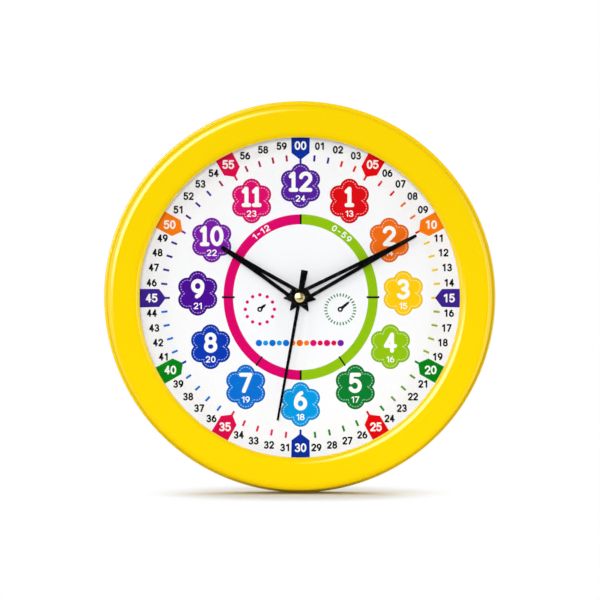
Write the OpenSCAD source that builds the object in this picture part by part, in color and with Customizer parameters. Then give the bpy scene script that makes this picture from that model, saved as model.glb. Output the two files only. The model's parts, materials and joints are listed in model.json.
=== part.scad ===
// Teaching wall clock: a moulded ring frame with a clear lens, a printed dial on a screwed back plate,
// three hands, and a battery quartz movement with its gear train.
// Each piece is drawn face up, with its heights counted from the wall, and is then stood up to face -Y.

/* [Frame] */
// Outside diameter, over the rear flange
clock_d = 305; // [294:1:340]
// Width of the frame, seen from the front
frame_w = 28.5; // [22:0.5:36]
// How far the rear flange stands out past the side wall
flange_w = 3; // [1.5:0.25:5]
// Height of the rear flange above the wall
flange_h = 14; // [6:0.5:20]
// Radius on the front edge of the flange
flange_round = 1.2; // [0.3:0.1:1.4]
// Width of the rounded shoulder, seen from the front
shoulder_w = 6; // [4:0.25:8]
// Height of the rounded shoulder
shoulder_h = 5; // [4:0.5:16]
// Width of the rounded inner lip, seen from the front
lip_w = 6; // [3:0.25:8]
// Height of the rounded inner lip
lip_h = 5; // [2:0.25:5.5]
// Wall of the frame
frame_wall = 2.6; // [1.6:0.1:3.4]
// Wall of the inner skirt that holds the lens and the dial
skirt_wall = 2.4; // [1.4:0.1:3.2]

/* [Lens and dial] */
// Thickness of the clear lens
lens_t = 1.5; // [1:0.1:3]
// Depth of the lens below the crown
lens_recess = 6; // [5.75:0.25:10]
// How far the lens reaches under the lip
lens_overlap = 5.5; // [2.8:0.1:6]
// Thickness of the dial card
dial_t = 0.8; // [0.3:0.1:1.6]
// Wall of the ring that spaces the lens from the dial
spacer_wall = 2.6; // [1.2:0.1:3.6]

/* [Back plate] */
// Thickness of the back plate
back_t = 2; // [1.4:0.1:3]
// Room between the plate's edge and the frame
plate_gap = 1; // [0.4:0.1:2]
// Height of the plate's ribs and rim
rib_h = 4; // [2:0.5:6]
// Thickness of the plate's ribs and rim
rib_t = 1.6; // [1:0.1:2.4]
// Number of radial ribs
rib_count = 12; // [6:6:18]
// Radius of the ring rib round the movement
ring_rib_r = 46; // [44:1:56]
// Number of case screws
screw_count = 6; // [4:2:8]
// Diameter of the case screws
screw_d = 3; // [2.5:0.1:3.5]
// Length of screw inside the frame
screw_bite = 10; // [6:0.5:13]
// Diameter of the screw heads
screw_head_d = 6.5; // [5:0.1:7.5]
// Height of the screw heads
screw_head_h = 2.2; // [1.6:0.1:3]
// Diameter of the screw bosses in the frame
boss_d = 8; // [6:0.1:9]

/* [Hanger] */
// Height of the keyhole's entry above the hand axis
hanger_z = 92; // [84:1:104]
// Diameter of the keyhole's entry
keyhole_d = 9; // [8:0.1:11]
// Width of the keyhole's slot
keyhole_slot_w = 4.5; // [3:0.1:5]
// Rise from the entry to the top of the slot
keyhole_rise = 10; // [8:0.5:12]
// Outside width of the hanger pocket
hanger_w = 26; // [22:1:32]
// Wall of the hanger pocket
hanger_wall = 2; // [1.4:0.1:2.6]
// Thickness of the plate with the keyhole
hanger_t = 2.5; // [1.6:0.1:3.2]
// Room between the hanger and the wall
hanger_room = 3; // [1:0.25:5]

/* [Hands] */
// Length of the hour hand from the axis
hour_len = 72.5; // [60:0.5:80]
// Hour hand's angle, clockwise from twelve
hour_angle = 302.7; // [0:0.1:360]
// Width of the hour hand at the axis
hour_w = 10.6; // [9:0.1:12]
// End of the hour hand's slot
hour_slot_end = 35.4; // [24:0.1:45]
// Width of the hour hand at the end of its slot
hour_waist = 6.2; // [4:0.1:7]
// Width of the hour hand at its round tip
hour_tip_w = 3.3; // [1.6:0.1:3.6]
// Length of the minute hand from the axis
minute_len = 102.7; // [90:0.1:118]
// Minute hand's angle, clockwise from twelve
minute_angle = 62; // [0:0.1:360]
// Width of the minute hand at the axis
minute_w = 9.8; // [9:0.1:12]
// End of the minute hand's slot
minute_slot_end = 51.8; // [35:0.1:65]
// Width of the minute hand at the end of its slot
minute_waist = 6; // [4:0.1:7]
// Width of the minute hand at its round tip
minute_tip_w = 2.4; // [1.6:0.1:3.4]
// Start of the slot in the hour and minute hands
slot_start = 8.6; // [7.8:0.1:12]
// Width of that slot at its start
slot_w = 3.4; // [2:0.1:4]
// Length of the swallow tails
tail_len = 12.2; // [9:0.1:14]
// Width of the swallow tails
tail_w = 11.8; // [9.5:0.1:13]
// Distance from the axis to the notch of the swallow tails
tail_notch = 7.4; // [6:0.1:8.8]
// Length of the second hand from the axis
second_len = 97; // [80:0.5:118]
// Second hand's angle, clockwise from twelve
second_angle = 190.2; // [0:0.1:360]
// Width of the second hand's needle at the axis
second_w = 2.8; // [1.6:0.1:3]
// Width of the needle at its tip
second_tip_w = 1.8; // [0.8:0.1:2.2]
// Length of the second hand's tail
second_tail = 21.5; // [14:0.5:28]
// Width of the second hand's tail at its end
second_tail_w = 5.4; // [3:0.1:6]
// Radius that rounds the corners of the hands
hand_corner_r = 0.6; // [0.2:0.1:1]
// Thickness of the sheet metal of the hands
hand_t = 0.5; // [0.3:0.05:0.8]
// Height of each hand's collet
collet_h = 1.6; // [1.2:0.1:2.2]
// Diameter of the cap on the second hand
cap_d = 7.6; // [6:0.1:9]
// Height of that cap
cap_h = 1.5; // [1:0.1:2.2]

/* [Movement] */
// Width of the movement across the cell; its length follows the cell
movement_w = 56; // [56:0.5:62]
// Wall of the movement's case
movement_wall = 1.2; // [1:0.1:1.6]
// Diameter of the AA cell
cell_d = 14.2; // [13.6:0.1:14.5]
// Length of the AA cell with its nub
cell_len = 50.5; // [49:0.1:51]
// Diameter of the threaded bush
bush_d = 8; // [7:0.1:9]
// Diameter of the hour tube
hour_tube_d = 5.1; // [4.6:0.1:5.6]
// Diameter of the minute tube
minute_tube_d = 3.5; // [3.1:0.1:3.7]
// Diameter of the second arbor
second_arbor_d = 1; // [0.8:0.05:1.2]
// Thickness of the fixing nut
nut_t = 2; // [1.5:0.1:3]
// Width of the fixing nut across its flats
nut_af = 11; // [10:0.5:14]
// Thickness of the washer under the nut
washer_t = 0.4; // [0.3:0.1:1]
// Thickness of the rubber gasket behind the back plate
gasket_t = 0.6; // [0.4:0.1:1.2]
// Diameter of the setting knob
knob_d = 9; // [7:0.1:11]
// Thickness of the setting knob
knob_t = 2.4; // [1.6:0.1:3.5]
// Room between the knob and the wall
wall_room = 1.1; // [0.5:0.1:6]

/* [Gear train] */
// Tooth module of the seconds train
fine_module = 0.25; // [0.23:0.005:0.26]
// Tooth module of the motion work
motion_module = 0.35; // [0.34:0.005:0.36]
// Thickness of the wheels of the seconds train
wheel_t = 0.8; // [0.5:0.05:1]
// Thickness of the wheels of the motion work
motion_t = 1.2; // [0.8:0.05:1.4]
// Room between neighbouring levels of the train
level_gap = 0.6; // [0.4:0.05:0.8]
// Diameter of the arbors
arbor_d = 0.8; // [0.7:0.05:0.9]
// Diameter of the pivots
pivot_d = 0.6; // [0.4:0.05:0.65]

/* [Fits] */
// Radial room of a turning shaft in its bore
running_gap = 0.05; // [0.02:0.01:0.08]
// Room round a piece that is laid in its seat
seat_gap = 0.3; // [0.1:0.05:0.4]
// Room between one hand and the next
hand_gap = 0.3; // [0.2:0.05:1]
// Room between the cap and the lens
cap_room = 1; // [0.5:0.1:4]

/* [Hidden] */
$fn = 96;
ring_fn = 180;
// How far a boss or rib sinks into the wall it grows from
bite = 0.2;
// How far a cut runs past the face it opens
over = 1;

// Tooth counts of the train: each pinion drives or follows the wheel beside it
second_teeth = 60;
third_teeth = 60;
centre_teeth = 64;
leaf_count = 8;
intermediate_teeth = 32;
cannon_teeth = 10;
motion_teeth = 30;
motion_leaves = 10;
hour_teeth = 40;
// Tooth outlines from root to tip: height from the pitch circle in modules,
// and half width as a share of the pitch
WHEEL_TOOTH = [[-1.3, 0.24], [0, 0.215], [0.95, 0.06]];
PINION_TOOTH = [[-1.3, 0.16], [0, 0.19], [0.55, 0.07]];

// Heights of the stack, from the wall to the crown
thread_proud = 0.3;
tube_proud = 0.2;
knob_gap = 0.3;
cell_gap = 0.3;
movement_depth = movement_wall + cell_d + 2 * cell_gap;
movement_back = wall_room + knob_t + knob_gap;
movement_front = movement_back + movement_depth;
plate_back = movement_front + gasket_t;
plate_front = plate_back + back_t;
dial_front = plate_front + dial_t;
bush_top = dial_front + washer_t + nut_t + thread_proud;
hour_collet_z = bush_top + hand_gap;
hour_tube_top = hour_collet_z + collet_h + tube_proud;
minute_collet_z = hour_tube_top + hand_gap;
minute_tube_top = minute_collet_z + collet_h + tube_proud;
second_collet_z = minute_tube_top + hand_gap;
second_top = second_collet_z + collet_h;
lens_back = second_top + cap_h + cap_room;
lens_front = lens_back + lens_t;
case_depth = lens_front + lens_recess;

// Radii of the frame
clock_r = clock_d / 2;
side_r = clock_r - flange_w;
opening_d = clock_d - 2 * frame_w;
lip_r = opening_d / 2;
lens_r = lip_r + lens_overlap;
skirt_in_r = lens_r + seat_gap;
skirt_out_r = skirt_in_r + skirt_wall;
channel_r = side_r - frame_wall;
ceiling_z = case_depth - frame_wall;
boss_r = (skirt_out_r + channel_r) / 2;
plate_r = channel_r - plate_gap;
// Thickness of the webs that tie the screw bosses to the frame
web_t = 1.6;
// Wall of the collets of the hands
collet_wall = 1.4;
arc_steps = 10;

// Places in the movement, counted back from its front face
cover_t = 1.2;
corner_r = 4;
tray_depth = movement_depth - cover_t;
contact_t = 0.4;
contact_w = 3;
// Length of a contact's pad, from its strip to the cell
contact_pad = 1.15;
movement_len = cell_len + 2 * (contact_pad + contact_t + movement_wall);
inside_x = movement_len / 2 - movement_wall;
inside_y = movement_w / 2 - movement_wall;
hour_u = movement_wall + level_gap;
cannon_u = hour_u + motion_t + level_gap;
centre_u = cannon_u + motion_t + level_gap;
third_u = centre_u + wheel_t + level_gap;
second_u = third_u + wheel_t + level_gap;
intermediate_u = second_u + wheel_t + level_gap;
train_u = intermediate_u + wheel_t + level_gap;
train_t = 0.8;
pivot_depth = 0.7;
end_shake = 0.15;
bay_top = -inside_y + cell_d + 2 * cell_gap;
cell_y = -inside_y + cell_gap + cell_d / 2;
cell_u = movement_wall + cell_gap + cell_d / 2;
divider_top = bay_top + movement_wall;

// Axes of the train, seen from the front with the hands' axis at the centre
third_turn = 60;
intermediate_turn = 150;
rotor_turn = 135;
motion_turn = 0;
third_reach = fine_module * (third_teeth + leaf_count) / 2;
intermediate_reach = fine_module * (second_teeth + leaf_count) / 2;
rotor_reach = fine_module * (intermediate_teeth + leaf_count) / 2;
motion_reach = motion_module * (cannon_teeth + motion_teeth) / 2;
centre_module = 2 * third_reach / (centre_teeth + leaf_count);
hour_module = 2 * motion_reach / (hour_teeth + motion_leaves);
function polar(reach, turn) = [reach * cos(turn), reach * sin(turn)];
third_at = polar(third_reach, third_turn);
intermediate_at = polar(intermediate_reach, intermediate_turn);
rotor_at = intermediate_at + polar(rotor_reach, rotor_turn);
motion_at = polar(motion_reach, motion_turn);
knob_at = motion_at + polar(motion_reach, motion_turn);
stud_d = 1.2;
knob_pin_d = 1.5;
knob_neck_d = 3;
knob_shaft_d = 4;
knob_ridges = 24;
knob_ridge_h = 0.35;
// Seat of the centre wheel on the cannon pinion, where the setting clutch slips
clutch_d = 2.5;

// Posts, coil and circuit board in the movement
post_d = 3;
post_in = 4;
posts = [for (x = [-1, 1], y = [divider_top + post_in, third_at.y + post_in + post_d])
    [x * (inside_x - post_in), y]];
seat_post_d = 2.4;
magnet_d = 4.4;
magnet_h = wheel_t + level_gap;
stator_gap = 0.3;
stator_ring_w = 1;
stator_leg_w = 2.6;
coil_len = 20;
coil_flange_d = 8;
coil_flange_t = 0.8;
coil_d = 7.2;
barrel_d = 3.6;
core_w = 2;
coil_y = posts[1].y + post_d / 2 + seat_gap + coil_flange_d / 2 + train_t;
pad_w = 3.2;
left_pad_x = -inside_x + post_in + post_d / 2 + seat_gap + stator_leg_w / 2;
coil_left = left_pad_x + pad_w / 2;
right_pad_x = coil_left + coil_len + pad_w / 2;
stator_mid_u = second_u + wheel_t / 2;
board_u = second_u + wheel_t;
board_t = 0.8;
board_left = right_pad_x + pad_w;
board_low = posts[1].y + post_d;
board_high = inside_y - corner_r + wheel_t;
chip_d = 5;
chip_h = 1;
// Places of the board's two posts along its width
board_post_shares = [0.2, 0.8];
board_posts = [for (share = board_post_shares)
    [board_left + share * (inside_x - board_left), coil_y + core_w]];

// Height of a place counted back from the movement's front face
function behind(u) = movement_front - u;

// Points of an elliptic arc about (x, y) from angle a to angle b
function arc(x, y, rx, ry, a, b) =
    [for (i = [0:arc_steps]) let (t = a + (b - a) * i / arc_steps) [x + rx * cos(t), y + ry * sin(t)]];

// Half of the angle at a corner q between its neighbours p and s
function half_angle(p, q, s) = acos((p - q) * (s - q) / norm(p - q) / norm(s - q)) / 2;

// The point at a reach from q towards p
function towards(q, p, reach) = q + (p - q) * reach / norm(p - q);

// The two points at which the rounding of the corner q starts, from p's side to s's
function cut_corner(p, q, s) =
    let (reach = hand_corner_r / tan(half_angle(p, q, s))) [towards(q, p, reach), towards(q, s, reach)];

// An outline's right edge, mirrored to the left and run backwards
function mirrored(edge) = [for (i = [len(edge) - 1:-1:0]) [-edge[i].x, edge[i].y]];

// Angle at which wheel b meshes with wheel a, when b lies at the angle turn from a
// and a tooth of a is at phase
function mesh_phase(turn, teeth_a, phase, teeth_b) =
    turn + 180 + 180 / teeth_b + (turn - phase) * teeth_a / teeth_b;

// Outline of a wheel: each tooth climbs its flank points and comes down the mirrored ones
function gear_points(teeth, pitch_module, tooth) =
    let (pitch_r = teeth * pitch_module / 2, steps = len(tooth))
    [for (k = [0:teeth - 1], i = [0:2 * steps - 1])
        let (up = i < steps,
             level = up ? tooth[i] : tooth[2 * steps - 1 - i],
             turn = 360 / teeth * (k + (up ? -1 : 1) * level[1]),
             r = pitch_r + level[0] * pitch_module)
        [r * cos(turn), r * sin(turn)]];

motion_phase = mesh_phase(motion_turn, cannon_teeth, 0, motion_teeth);

// Half outline of the frame's section: flange, side, shoulder, crown, lip, lens seat, skirt and channel
frame_section = concat(
    [[clock_r, 0]],
    arc(clock_r - flange_round, flange_h - flange_round, flange_round, flange_round, 0, 90),
    [[side_r, flange_h]],
    arc(side_r - shoulder_w, case_depth - shoulder_h, shoulder_w, shoulder_h, 0, 90),
    arc(lip_r + lip_w, case_depth - lip_h, lip_w, lip_h, 90, 180),
    [[lip_r, lens_front], [skirt_in_r, lens_front], [skirt_in_r, dial_front], [skirt_out_r, dial_front]],
    [[skirt_out_r, ceiling_z]],
    arc(side_r - shoulder_w, case_depth - shoulder_h,
        shoulder_w - frame_wall, shoulder_h - frame_wall, 90, 0),
    [[channel_r, flange_h - frame_wall], [clock_r - frame_wall, flange_h - frame_wall]],
    [[clock_r - frame_wall, 0]]);

// Stands a piece up from the drawing plane, with the middle of the clock's depth at the origin
module stand() {
    translate([0, case_depth / 2, 0]) rotate([90, 0, 0]) children();
}

// A flat shape raised between two heights above the wall
module layer(low, high) {
    translate([0, 0, low]) linear_extrude(high - low) children();
}

// A flat shape raised between two depths behind the movement's front face
module slab(near, far) {
    layer(behind(far), behind(near)) children();
}

module ring(outer_r, inner_r) {
    difference() {
        circle(outer_r);
        circle(inner_r);
    }
}

module gear(teeth, pitch_module, tooth, phase) {
    rotate(phase) polygon(gear_points(teeth, pitch_module, tooth));
}

module rounded_rectangle(w, h, r) {
    square([w, h - 2 * r], center = true);
    square([w - 2 * r, h], center = true);
    for (x = [-1, 1], y = [-1, 1]) translate([x * (w / 2 - r), y * (h / 2 - r)]) circle(r);
}

// A flat strip of width w from point p to point q
module strip(p, q, w) {
    translate(p) rotate(atan2(q.y - p.y, q.x - p.x)) translate([0, -w / 2]) square([norm(q - p), w]);
}

module at_screws() {
    for (i = [0:screw_count - 1]) rotate(360 * i / screw_count) translate([boss_r, 0, 0]) children();
}

// An arbor on its pivots between the movement's front wall and the train plate
module arbor() {
    slab(movement_wall + end_shake, train_u - end_shake) circle(d = arbor_d);
    slab(movement_wall - pivot_depth, train_u + pivot_depth) circle(d = pivot_d);
}

// The circle that rounds the corner q between p and s
module corner(p, q, s) {
    middle = (towards(q, p, 1) + towards(q, s, 1)) / 2;
    translate(towards(q, middle, hand_corner_r / sin(half_angle(p, q, s)))) circle(hand_corner_r);
}

// Blank of a swallow-tailed hand that points up, from its widths at tail, axis, slot end and tip
module hand_blank(length, axis_w, slot_end, waist, tip_w) {
    tip_r = tip_w / 2;
    axis = [axis_w / 2, 0];
    tail = [tail_w / 2, -tail_len];
    notch = [0, -tail_notch];
    edge = concat(cut_corner(notch, tail, axis), [axis, [waist / 2, slot_end], [tip_r, length - tip_r]]);
    polygon(concat([notch], edge, mirrored(edge)));
    for (side = [0, 1]) mirror([side, 0]) corner(notch, tail, axis);
    translate([0, length - tip_r]) circle(tip_r);
}

// A slotted sheet hand on its collet, bored for the tube that carries it
module slotted_hand(length, angle, axis_w, slot_end, waist, tip_w, collet_z, tube_d) {
    rotate(-angle) difference() {
        union() {
            layer(collet_z + collet_h / 2, collet_z + collet_h / 2 + hand_t) difference() {
                hand_blank(length, axis_w, slot_end, waist, tip_w);
                polygon([[-slot_w / 2, slot_start], [slot_w / 2, slot_start], [0, slot_end]]);
            }
            layer(collet_z, collet_z + collet_h) circle(d = tube_d + 2 * collet_wall);
        }
        layer(collet_z - over, collet_z + collet_h + over) circle(d = tube_d);
    }
}

module frame_ring() {
    color("gold") stand() difference() {
        union() {
            rotate_extrude($fn = ring_fn) polygon(frame_section);
            at_screws() {
                layer(plate_front, ceiling_z + bite) circle(d = boss_d);
                layer(plate_front + web_t, ceiling_z + bite)
                    square([channel_r - skirt_out_r + 2 * bite, web_t], center = true);
            }
        }
        at_screws() layer(plate_front - over, plate_front + screw_bite + web_t)
            circle(d = screw_d + 2 * running_gap);
    }
}

module lens() {
    color([0.9, 0.95, 1, 0.3]) stand() layer(lens_back, lens_front) circle(lens_r, $fn = ring_fn);
}

module spacer_ring() {
    color("whitesmoke") stand() layer(dial_front, lens_back)
        ring(lens_r, lens_r - spacer_wall, $fn = ring_fn);
}

module dial() {
    color("white") stand() layer(plate_front, dial_front)
        ring(skirt_out_r, bush_d / 2 + seat_gap, $fn = ring_fn);
}

module back_plate() {
    pocket_w = hanger_w - 2 * hanger_wall;
    pocket_h = keyhole_rise + 2 * keyhole_d;
    pocket_y = hanger_z + keyhole_rise / 2;
    color("ivory") stand() difference() {
        union() {
            layer(plate_back, plate_front) circle(plate_r, $fn = ring_fn);
            layer(plate_back - rib_h, plate_back + bite) {
                ring(plate_r, plate_r - rib_t, $fn = ring_fn);
                ring(ring_rib_r + rib_t, ring_rib_r, $fn = ring_fn);
                for (i = [0.5:rib_count]) rotate(360 * i / rib_count)
                    translate([ring_rib_r + rib_t / 2, -rib_t / 2])
                        square([boss_r - screw_head_d - ring_rib_r - rib_t, rib_t]);
            }
            layer(hanger_room, plate_back + bite) translate([0, pocket_y])
                square([hanger_w, pocket_h + 2 * hanger_wall], center = true);
        }
        layer(plate_back - rib_h - over, plate_front + over) circle(d = bush_d + 2 * seat_gap);
        at_screws() layer(plate_back - over, plate_front + over) circle(d = screw_d + 2 * seat_gap);
        layer(hanger_room + hanger_t, plate_back) translate([0, pocket_y])
            square([pocket_w, pocket_h], center = true);
        layer(hanger_room - over, hanger_room + hanger_t + over) translate([0, hanger_z]) {
            circle(d = keyhole_d);
            translate([-keyhole_slot_w / 2, 0]) square([keyhole_slot_w, keyhole_rise]);
            translate([0, keyhole_rise]) circle(d = keyhole_slot_w);
        }
    }
}

module case_screws() {
    cross_w = screw_d / 4;
    color("silver") stand() at_screws() difference() {
        union() {
            layer(plate_back - screw_head_h, plate_back) circle(d = screw_head_d);
            layer(plate_back - bite, plate_front + screw_bite) circle(d = screw_d);
        }
        layer(plate_back - screw_head_h - over, plate_back - screw_head_h / 2) {
            square([screw_d, cross_w], center = true);
            square([cross_w, screw_d], center = true);
        }
    }
}

module mounting_gasket() {
    color("dimgray") stand() layer(movement_front, plate_back)
        ring(bush_d + gasket_t, bush_d / 2 + running_gap);
}

module mounting_washer() {
    color("goldenrod") stand() layer(dial_front, dial_front + washer_t)
        ring(nut_af / 2 + washer_t, bush_d / 2 + running_gap);
}

module mounting_nut() {
    color("goldenrod") stand() layer(dial_front + washer_t, dial_front + washer_t + nut_t) difference() {
        circle(d = nut_af / cos(30), $fn = 6);
        circle(d = bush_d + 2 * running_gap);
    }
}

module hour_hand() {
    color("black") stand()
        slotted_hand(hour_len, hour_angle, hour_w, hour_slot_end, hour_waist, hour_tip_w,
            hour_collet_z, hour_tube_d);
}

module minute_hand() {
    color("black") stand()
        slotted_hand(minute_len, minute_angle, minute_w, minute_slot_end, minute_waist, minute_tip_w,
            minute_collet_z, minute_tube_d);
}

module second_hand() {
    sheet_z = second_top - hand_t;
    axis = [second_w / 2 + hand_t, 0];
    tail = [second_tail_w / 2, -second_tail];
    foot = [0, -second_tail];
    tail_edge = concat(cut_corner(foot, tail, axis), [axis]);
    color("black") stand() rotate(-second_angle) difference() {
        union() {
            layer(sheet_z, second_top) {
                polygon([[-second_w / 2, 0], [second_w / 2, 0],
                    [second_tip_w / 2, second_len], [-second_tip_w / 2, second_len]]);
                polygon(concat(tail_edge, mirrored(tail_edge)));
                for (side = [0, 1]) mirror([side, 0]) corner(foot, tail, axis);
                circle(d = cap_d + hand_t);
            }
            layer(second_collet_z, second_top) circle(d = second_arbor_d + 2 * collet_wall);
        }
        layer(second_collet_z - over, second_top + over) circle(d = second_arbor_d);
    }
}

module second_hand_cap() {
    dome_r = (cap_d * cap_d / 4 + cap_h * cap_h) / (2 * cap_h);
    dome_half = asin(cap_d / 2 / dome_r);
    color("goldenrod") stand() translate([0, 0, second_top])
        rotate_extrude() polygon(concat([[0, 0]],
            arc(0, cap_h - dome_r, dome_r, dome_r, 90 - dome_half, 90)));
}

module movement_case() {
    notch_u = [cell_u - contact_w / 2 - seat_gap, cell_u + contact_w / 2 + seat_gap];
    color("dimgray") stand() difference() {
        union() {
            difference() {
                slab(0, tray_depth) rounded_rectangle(movement_len, movement_w, corner_r);
                slab(movement_wall, tray_depth + over)
                    rounded_rectangle(2 * inside_x, 2 * inside_y, corner_r - movement_wall);
            }
            slab(movement_wall - bite, tray_depth) translate([-inside_x - bite, bay_top])
                square([2 * inside_x + 2 * bite, movement_wall]);
            layer(movement_front - bite, bush_top) circle(d = bush_d);
            slab(movement_wall - bite, train_u) for (p = posts) translate(p) circle(d = post_d);
            slab(movement_wall - bite, second_u) for (x = [left_pad_x, right_pad_x])
                translate([x, coil_y]) circle(d = seat_post_d);
            slab(movement_wall - bite, board_u) for (p = board_posts) translate(p) circle(d = seat_post_d);
            slab(movement_wall - bite, cannon_u + motion_t) translate(motion_at) circle(d = stud_d);
        }
        layer(behind(movement_wall + over), bush_top + over) circle(d = hour_tube_d + 2 * running_gap);
        slab(movement_wall - pivot_depth - end_shake, movement_wall + over)
        {
            for (p = [third_at, intermediate_at, rotor_at])
                translate(p) circle(d = pivot_d + 2 * running_gap);
            translate(knob_at) circle(d = knob_pin_d + 2 * running_gap);
        }
        slab(notch_u[0], notch_u[1]) for (x = [-1, 1])
            translate([x * inside_x, bay_top + movement_wall / 2])
                square([2 * (contact_t + seat_gap), movement_wall + over], center = true);
    }
}

module movement_cover() {
    color("gray") stand() difference() {
        union() {
            slab(tray_depth, movement_depth) rounded_rectangle(movement_len, movement_w, corner_r);
            slab(train_u + train_t, tray_depth + bite) for (p = posts) translate(p) circle(d = post_d);
        }
        slab(tray_depth - over, movement_depth + over) {
            translate([-inside_x, -inside_y]) square([2 * inside_x, bay_top + inside_y]);
            translate(knob_at) circle(d = knob_neck_d + 2 * running_gap);
        }
    }
}

module train_plate() {
    low = divider_top + seat_gap;
    high = posts[1].y + post_d / 2;
    color("lightgray") stand() slab(train_u, train_u + train_t) difference() {
        translate([-inside_x + seat_gap, low]) square([2 * (inside_x - seat_gap), high - low]);
        for (p = [[0, 0], third_at, intermediate_at, rotor_at])
            translate(p) circle(d = pivot_d + 2 * running_gap);
        translate(knob_at) circle(d = knob_shaft_d + 2 * seat_gap);
    }
}

module hour_wheel() {
    phase = mesh_phase(motion_turn + 180, motion_leaves, 0, hour_teeth);
    color("white") stand() difference() {
        union() {
            slab(hour_u, hour_u + motion_t) gear(hour_teeth, hour_module, WHEEL_TOOTH, phase);
            layer(behind(hour_u + bite), hour_tube_top) circle(d = hour_tube_d);
        }
        layer(behind(hour_u + motion_t + over), hour_tube_top + over)
            circle(d = minute_tube_d + 2 * running_gap);
    }
}

module cannon_pinion() {
    color("goldenrod") stand() difference() {
        union() {
            slab(cannon_u, cannon_u + motion_t) gear(cannon_teeth, motion_module, PINION_TOOTH, 0);
            layer(behind(cannon_u), minute_tube_top) circle(d = minute_tube_d);
            layer(behind(centre_u + wheel_t), minute_tube_top) circle(d = clutch_d);
        }
        layer(behind(centre_u + wheel_t + over), minute_tube_top + over)
            circle(d = second_arbor_d + 2 * running_gap);
    }
}

module centre_wheel() {
    phase = mesh_phase(third_turn + 180, leaf_count, 0, centre_teeth);
    color("goldenrod") stand() slab(centre_u, centre_u + wheel_t) difference() {
        gear(centre_teeth, centre_module, WHEEL_TOOTH, phase);
        circle(d = clutch_d);
    }
}

module motion_wheel() {
    color("white") stand() translate(motion_at) difference() {
        union() {
            slab(cannon_u, cannon_u + motion_t)
                gear(motion_teeth, motion_module, WHEEL_TOOTH, motion_phase);
            slab(hour_u, cannon_u + bite) gear(motion_leaves, hour_module, PINION_TOOTH, 0);
        }
        slab(hour_u - over, cannon_u + motion_t + over) circle(d = stud_d + 2 * running_gap);
    }
}

module second_wheel() {
    color("white") stand() {
        slab(second_u, second_u + wheel_t) gear(second_teeth, fine_module, WHEEL_TOOTH, 0);
        slab(third_u, third_u + wheel_t) gear(leaf_count, fine_module, PINION_TOOTH, 0);
        layer(behind(train_u - end_shake), second_top) circle(d = second_arbor_d);
        slab(second_u, train_u + pivot_depth) circle(d = pivot_d);
    }
}

module third_wheel() {
    phase = mesh_phase(third_turn, leaf_count, 0, third_teeth);
    color("white") stand() translate(third_at) {
        slab(third_u, third_u + wheel_t) gear(third_teeth, fine_module, WHEEL_TOOTH, phase);
        slab(centre_u, centre_u + wheel_t) gear(leaf_count, centre_module, PINION_TOOTH, 0);
        arbor();
    }
}

module intermediate_wheel() {
    phase = mesh_phase(intermediate_turn, second_teeth, 0, leaf_count);
    color("white") stand() translate(intermediate_at) {
        slab(intermediate_u, intermediate_u + wheel_t)
            gear(intermediate_teeth, fine_module, WHEEL_TOOTH, 0);
        slab(second_u, second_u + wheel_t) gear(leaf_count, fine_module, PINION_TOOTH, phase);
        arbor();
    }
}

module rotor() {
    phase = mesh_phase(rotor_turn, intermediate_teeth, 0, leaf_count);
    color("darkslategray") stand() translate(rotor_at) {
        slab(intermediate_u, intermediate_u + wheel_t) gear(leaf_count, fine_module, PINION_TOOTH, phase);
        slab(stator_mid_u - magnet_h / 2, stator_mid_u + magnet_h / 2) circle(d = magnet_d);
        arbor();
    }
}

module stator() {
    bore_r = magnet_d / 2 + stator_gap;
    ring_r = bore_r + stator_ring_w;
    elbow = [right_pad_x, third_at.y + third_reach];
    color("silver") stand() slab(second_u, second_u + wheel_t) difference() {
        union() {
            translate([left_pad_x - pad_w / 2, coil_y - core_w / 2])
                square([right_pad_x - left_pad_x + pad_w, core_w]);
            strip([left_pad_x, coil_y + core_w / 2], [left_pad_x, rotor_at.y - stator_leg_w / 2],
                stator_leg_w);
            strip([left_pad_x, rotor_at.y], rotor_at, stator_leg_w);
            strip([right_pad_x, coil_y + core_w / 2], elbow - [0, stator_leg_w / 2], stator_leg_w);
            strip(elbow, rotor_at, stator_leg_w);
            translate(rotor_at) circle(ring_r);
        }
        translate(rotor_at) circle(bore_r);
    }
}

// Turns a shape drawn round the Z axis so that it lies along the coil
module along_coil() {
    translate([coil_left, coil_y, behind(stator_mid_u)]) rotate([0, 90, 0]) children();
}

module coil_bobbin() {
    room = 2 * running_gap;
    color("ivory") stand() along_coil() difference() {
        union() {
            cylinder(d = barrel_d, h = coil_len);
            cylinder(d = coil_flange_d, h = coil_flange_t);
            translate([0, 0, coil_len - coil_flange_t]) cylinder(d = coil_flange_d, h = coil_flange_t);
        }
        translate([0, 0, coil_len / 2]) cube([wheel_t + room, core_w + room, coil_len + over], center = true);
    }
}

module coil_winding() {
    color("chocolate") stand() along_coil() translate([0, 0, coil_flange_t])
        linear_extrude(coil_len - 2 * coil_flange_t) ring(coil_d / 2, barrel_d / 2);
}

module circuit_board() {
    color("darkgreen") stand() slab(board_u, board_u + board_t) translate([board_left, board_low])
        square([inside_x - contact_t - board_left, board_high - board_low]);
}

module chip() {
    color("black") stand() slab(board_u + board_t, board_u + board_t + chip_h)
        translate([board_left + board_t + chip_d / 2, (board_low + board_high) / 2]) circle(d = chip_d);
}

module crystal() {
    can_d = 2;
    can_len = 6;
    can_x = board_left + 2 * board_t + chip_d;
    can_at = [can_x, (board_low + board_high) / 2, behind(board_u + board_t + can_d / 2)];
    color("silver") stand() translate(can_at) rotate([0, 90, 0]) cylinder(d = can_d, h = can_len);
}

module positive_contact() {
    color("silver") stand() {
        slab(cell_u - contact_w / 2, cell_u + contact_w / 2)
            translate([inside_x - contact_t, cell_y - contact_w])
                square([contact_t, inside_y - corner_r - cell_y + contact_w]);
        translate([cell_len / 2, cell_y, behind(cell_u)]) rotate([0, 90, 0])
            cylinder(d = contact_w, h = contact_pad + bite);
    }
}

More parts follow.
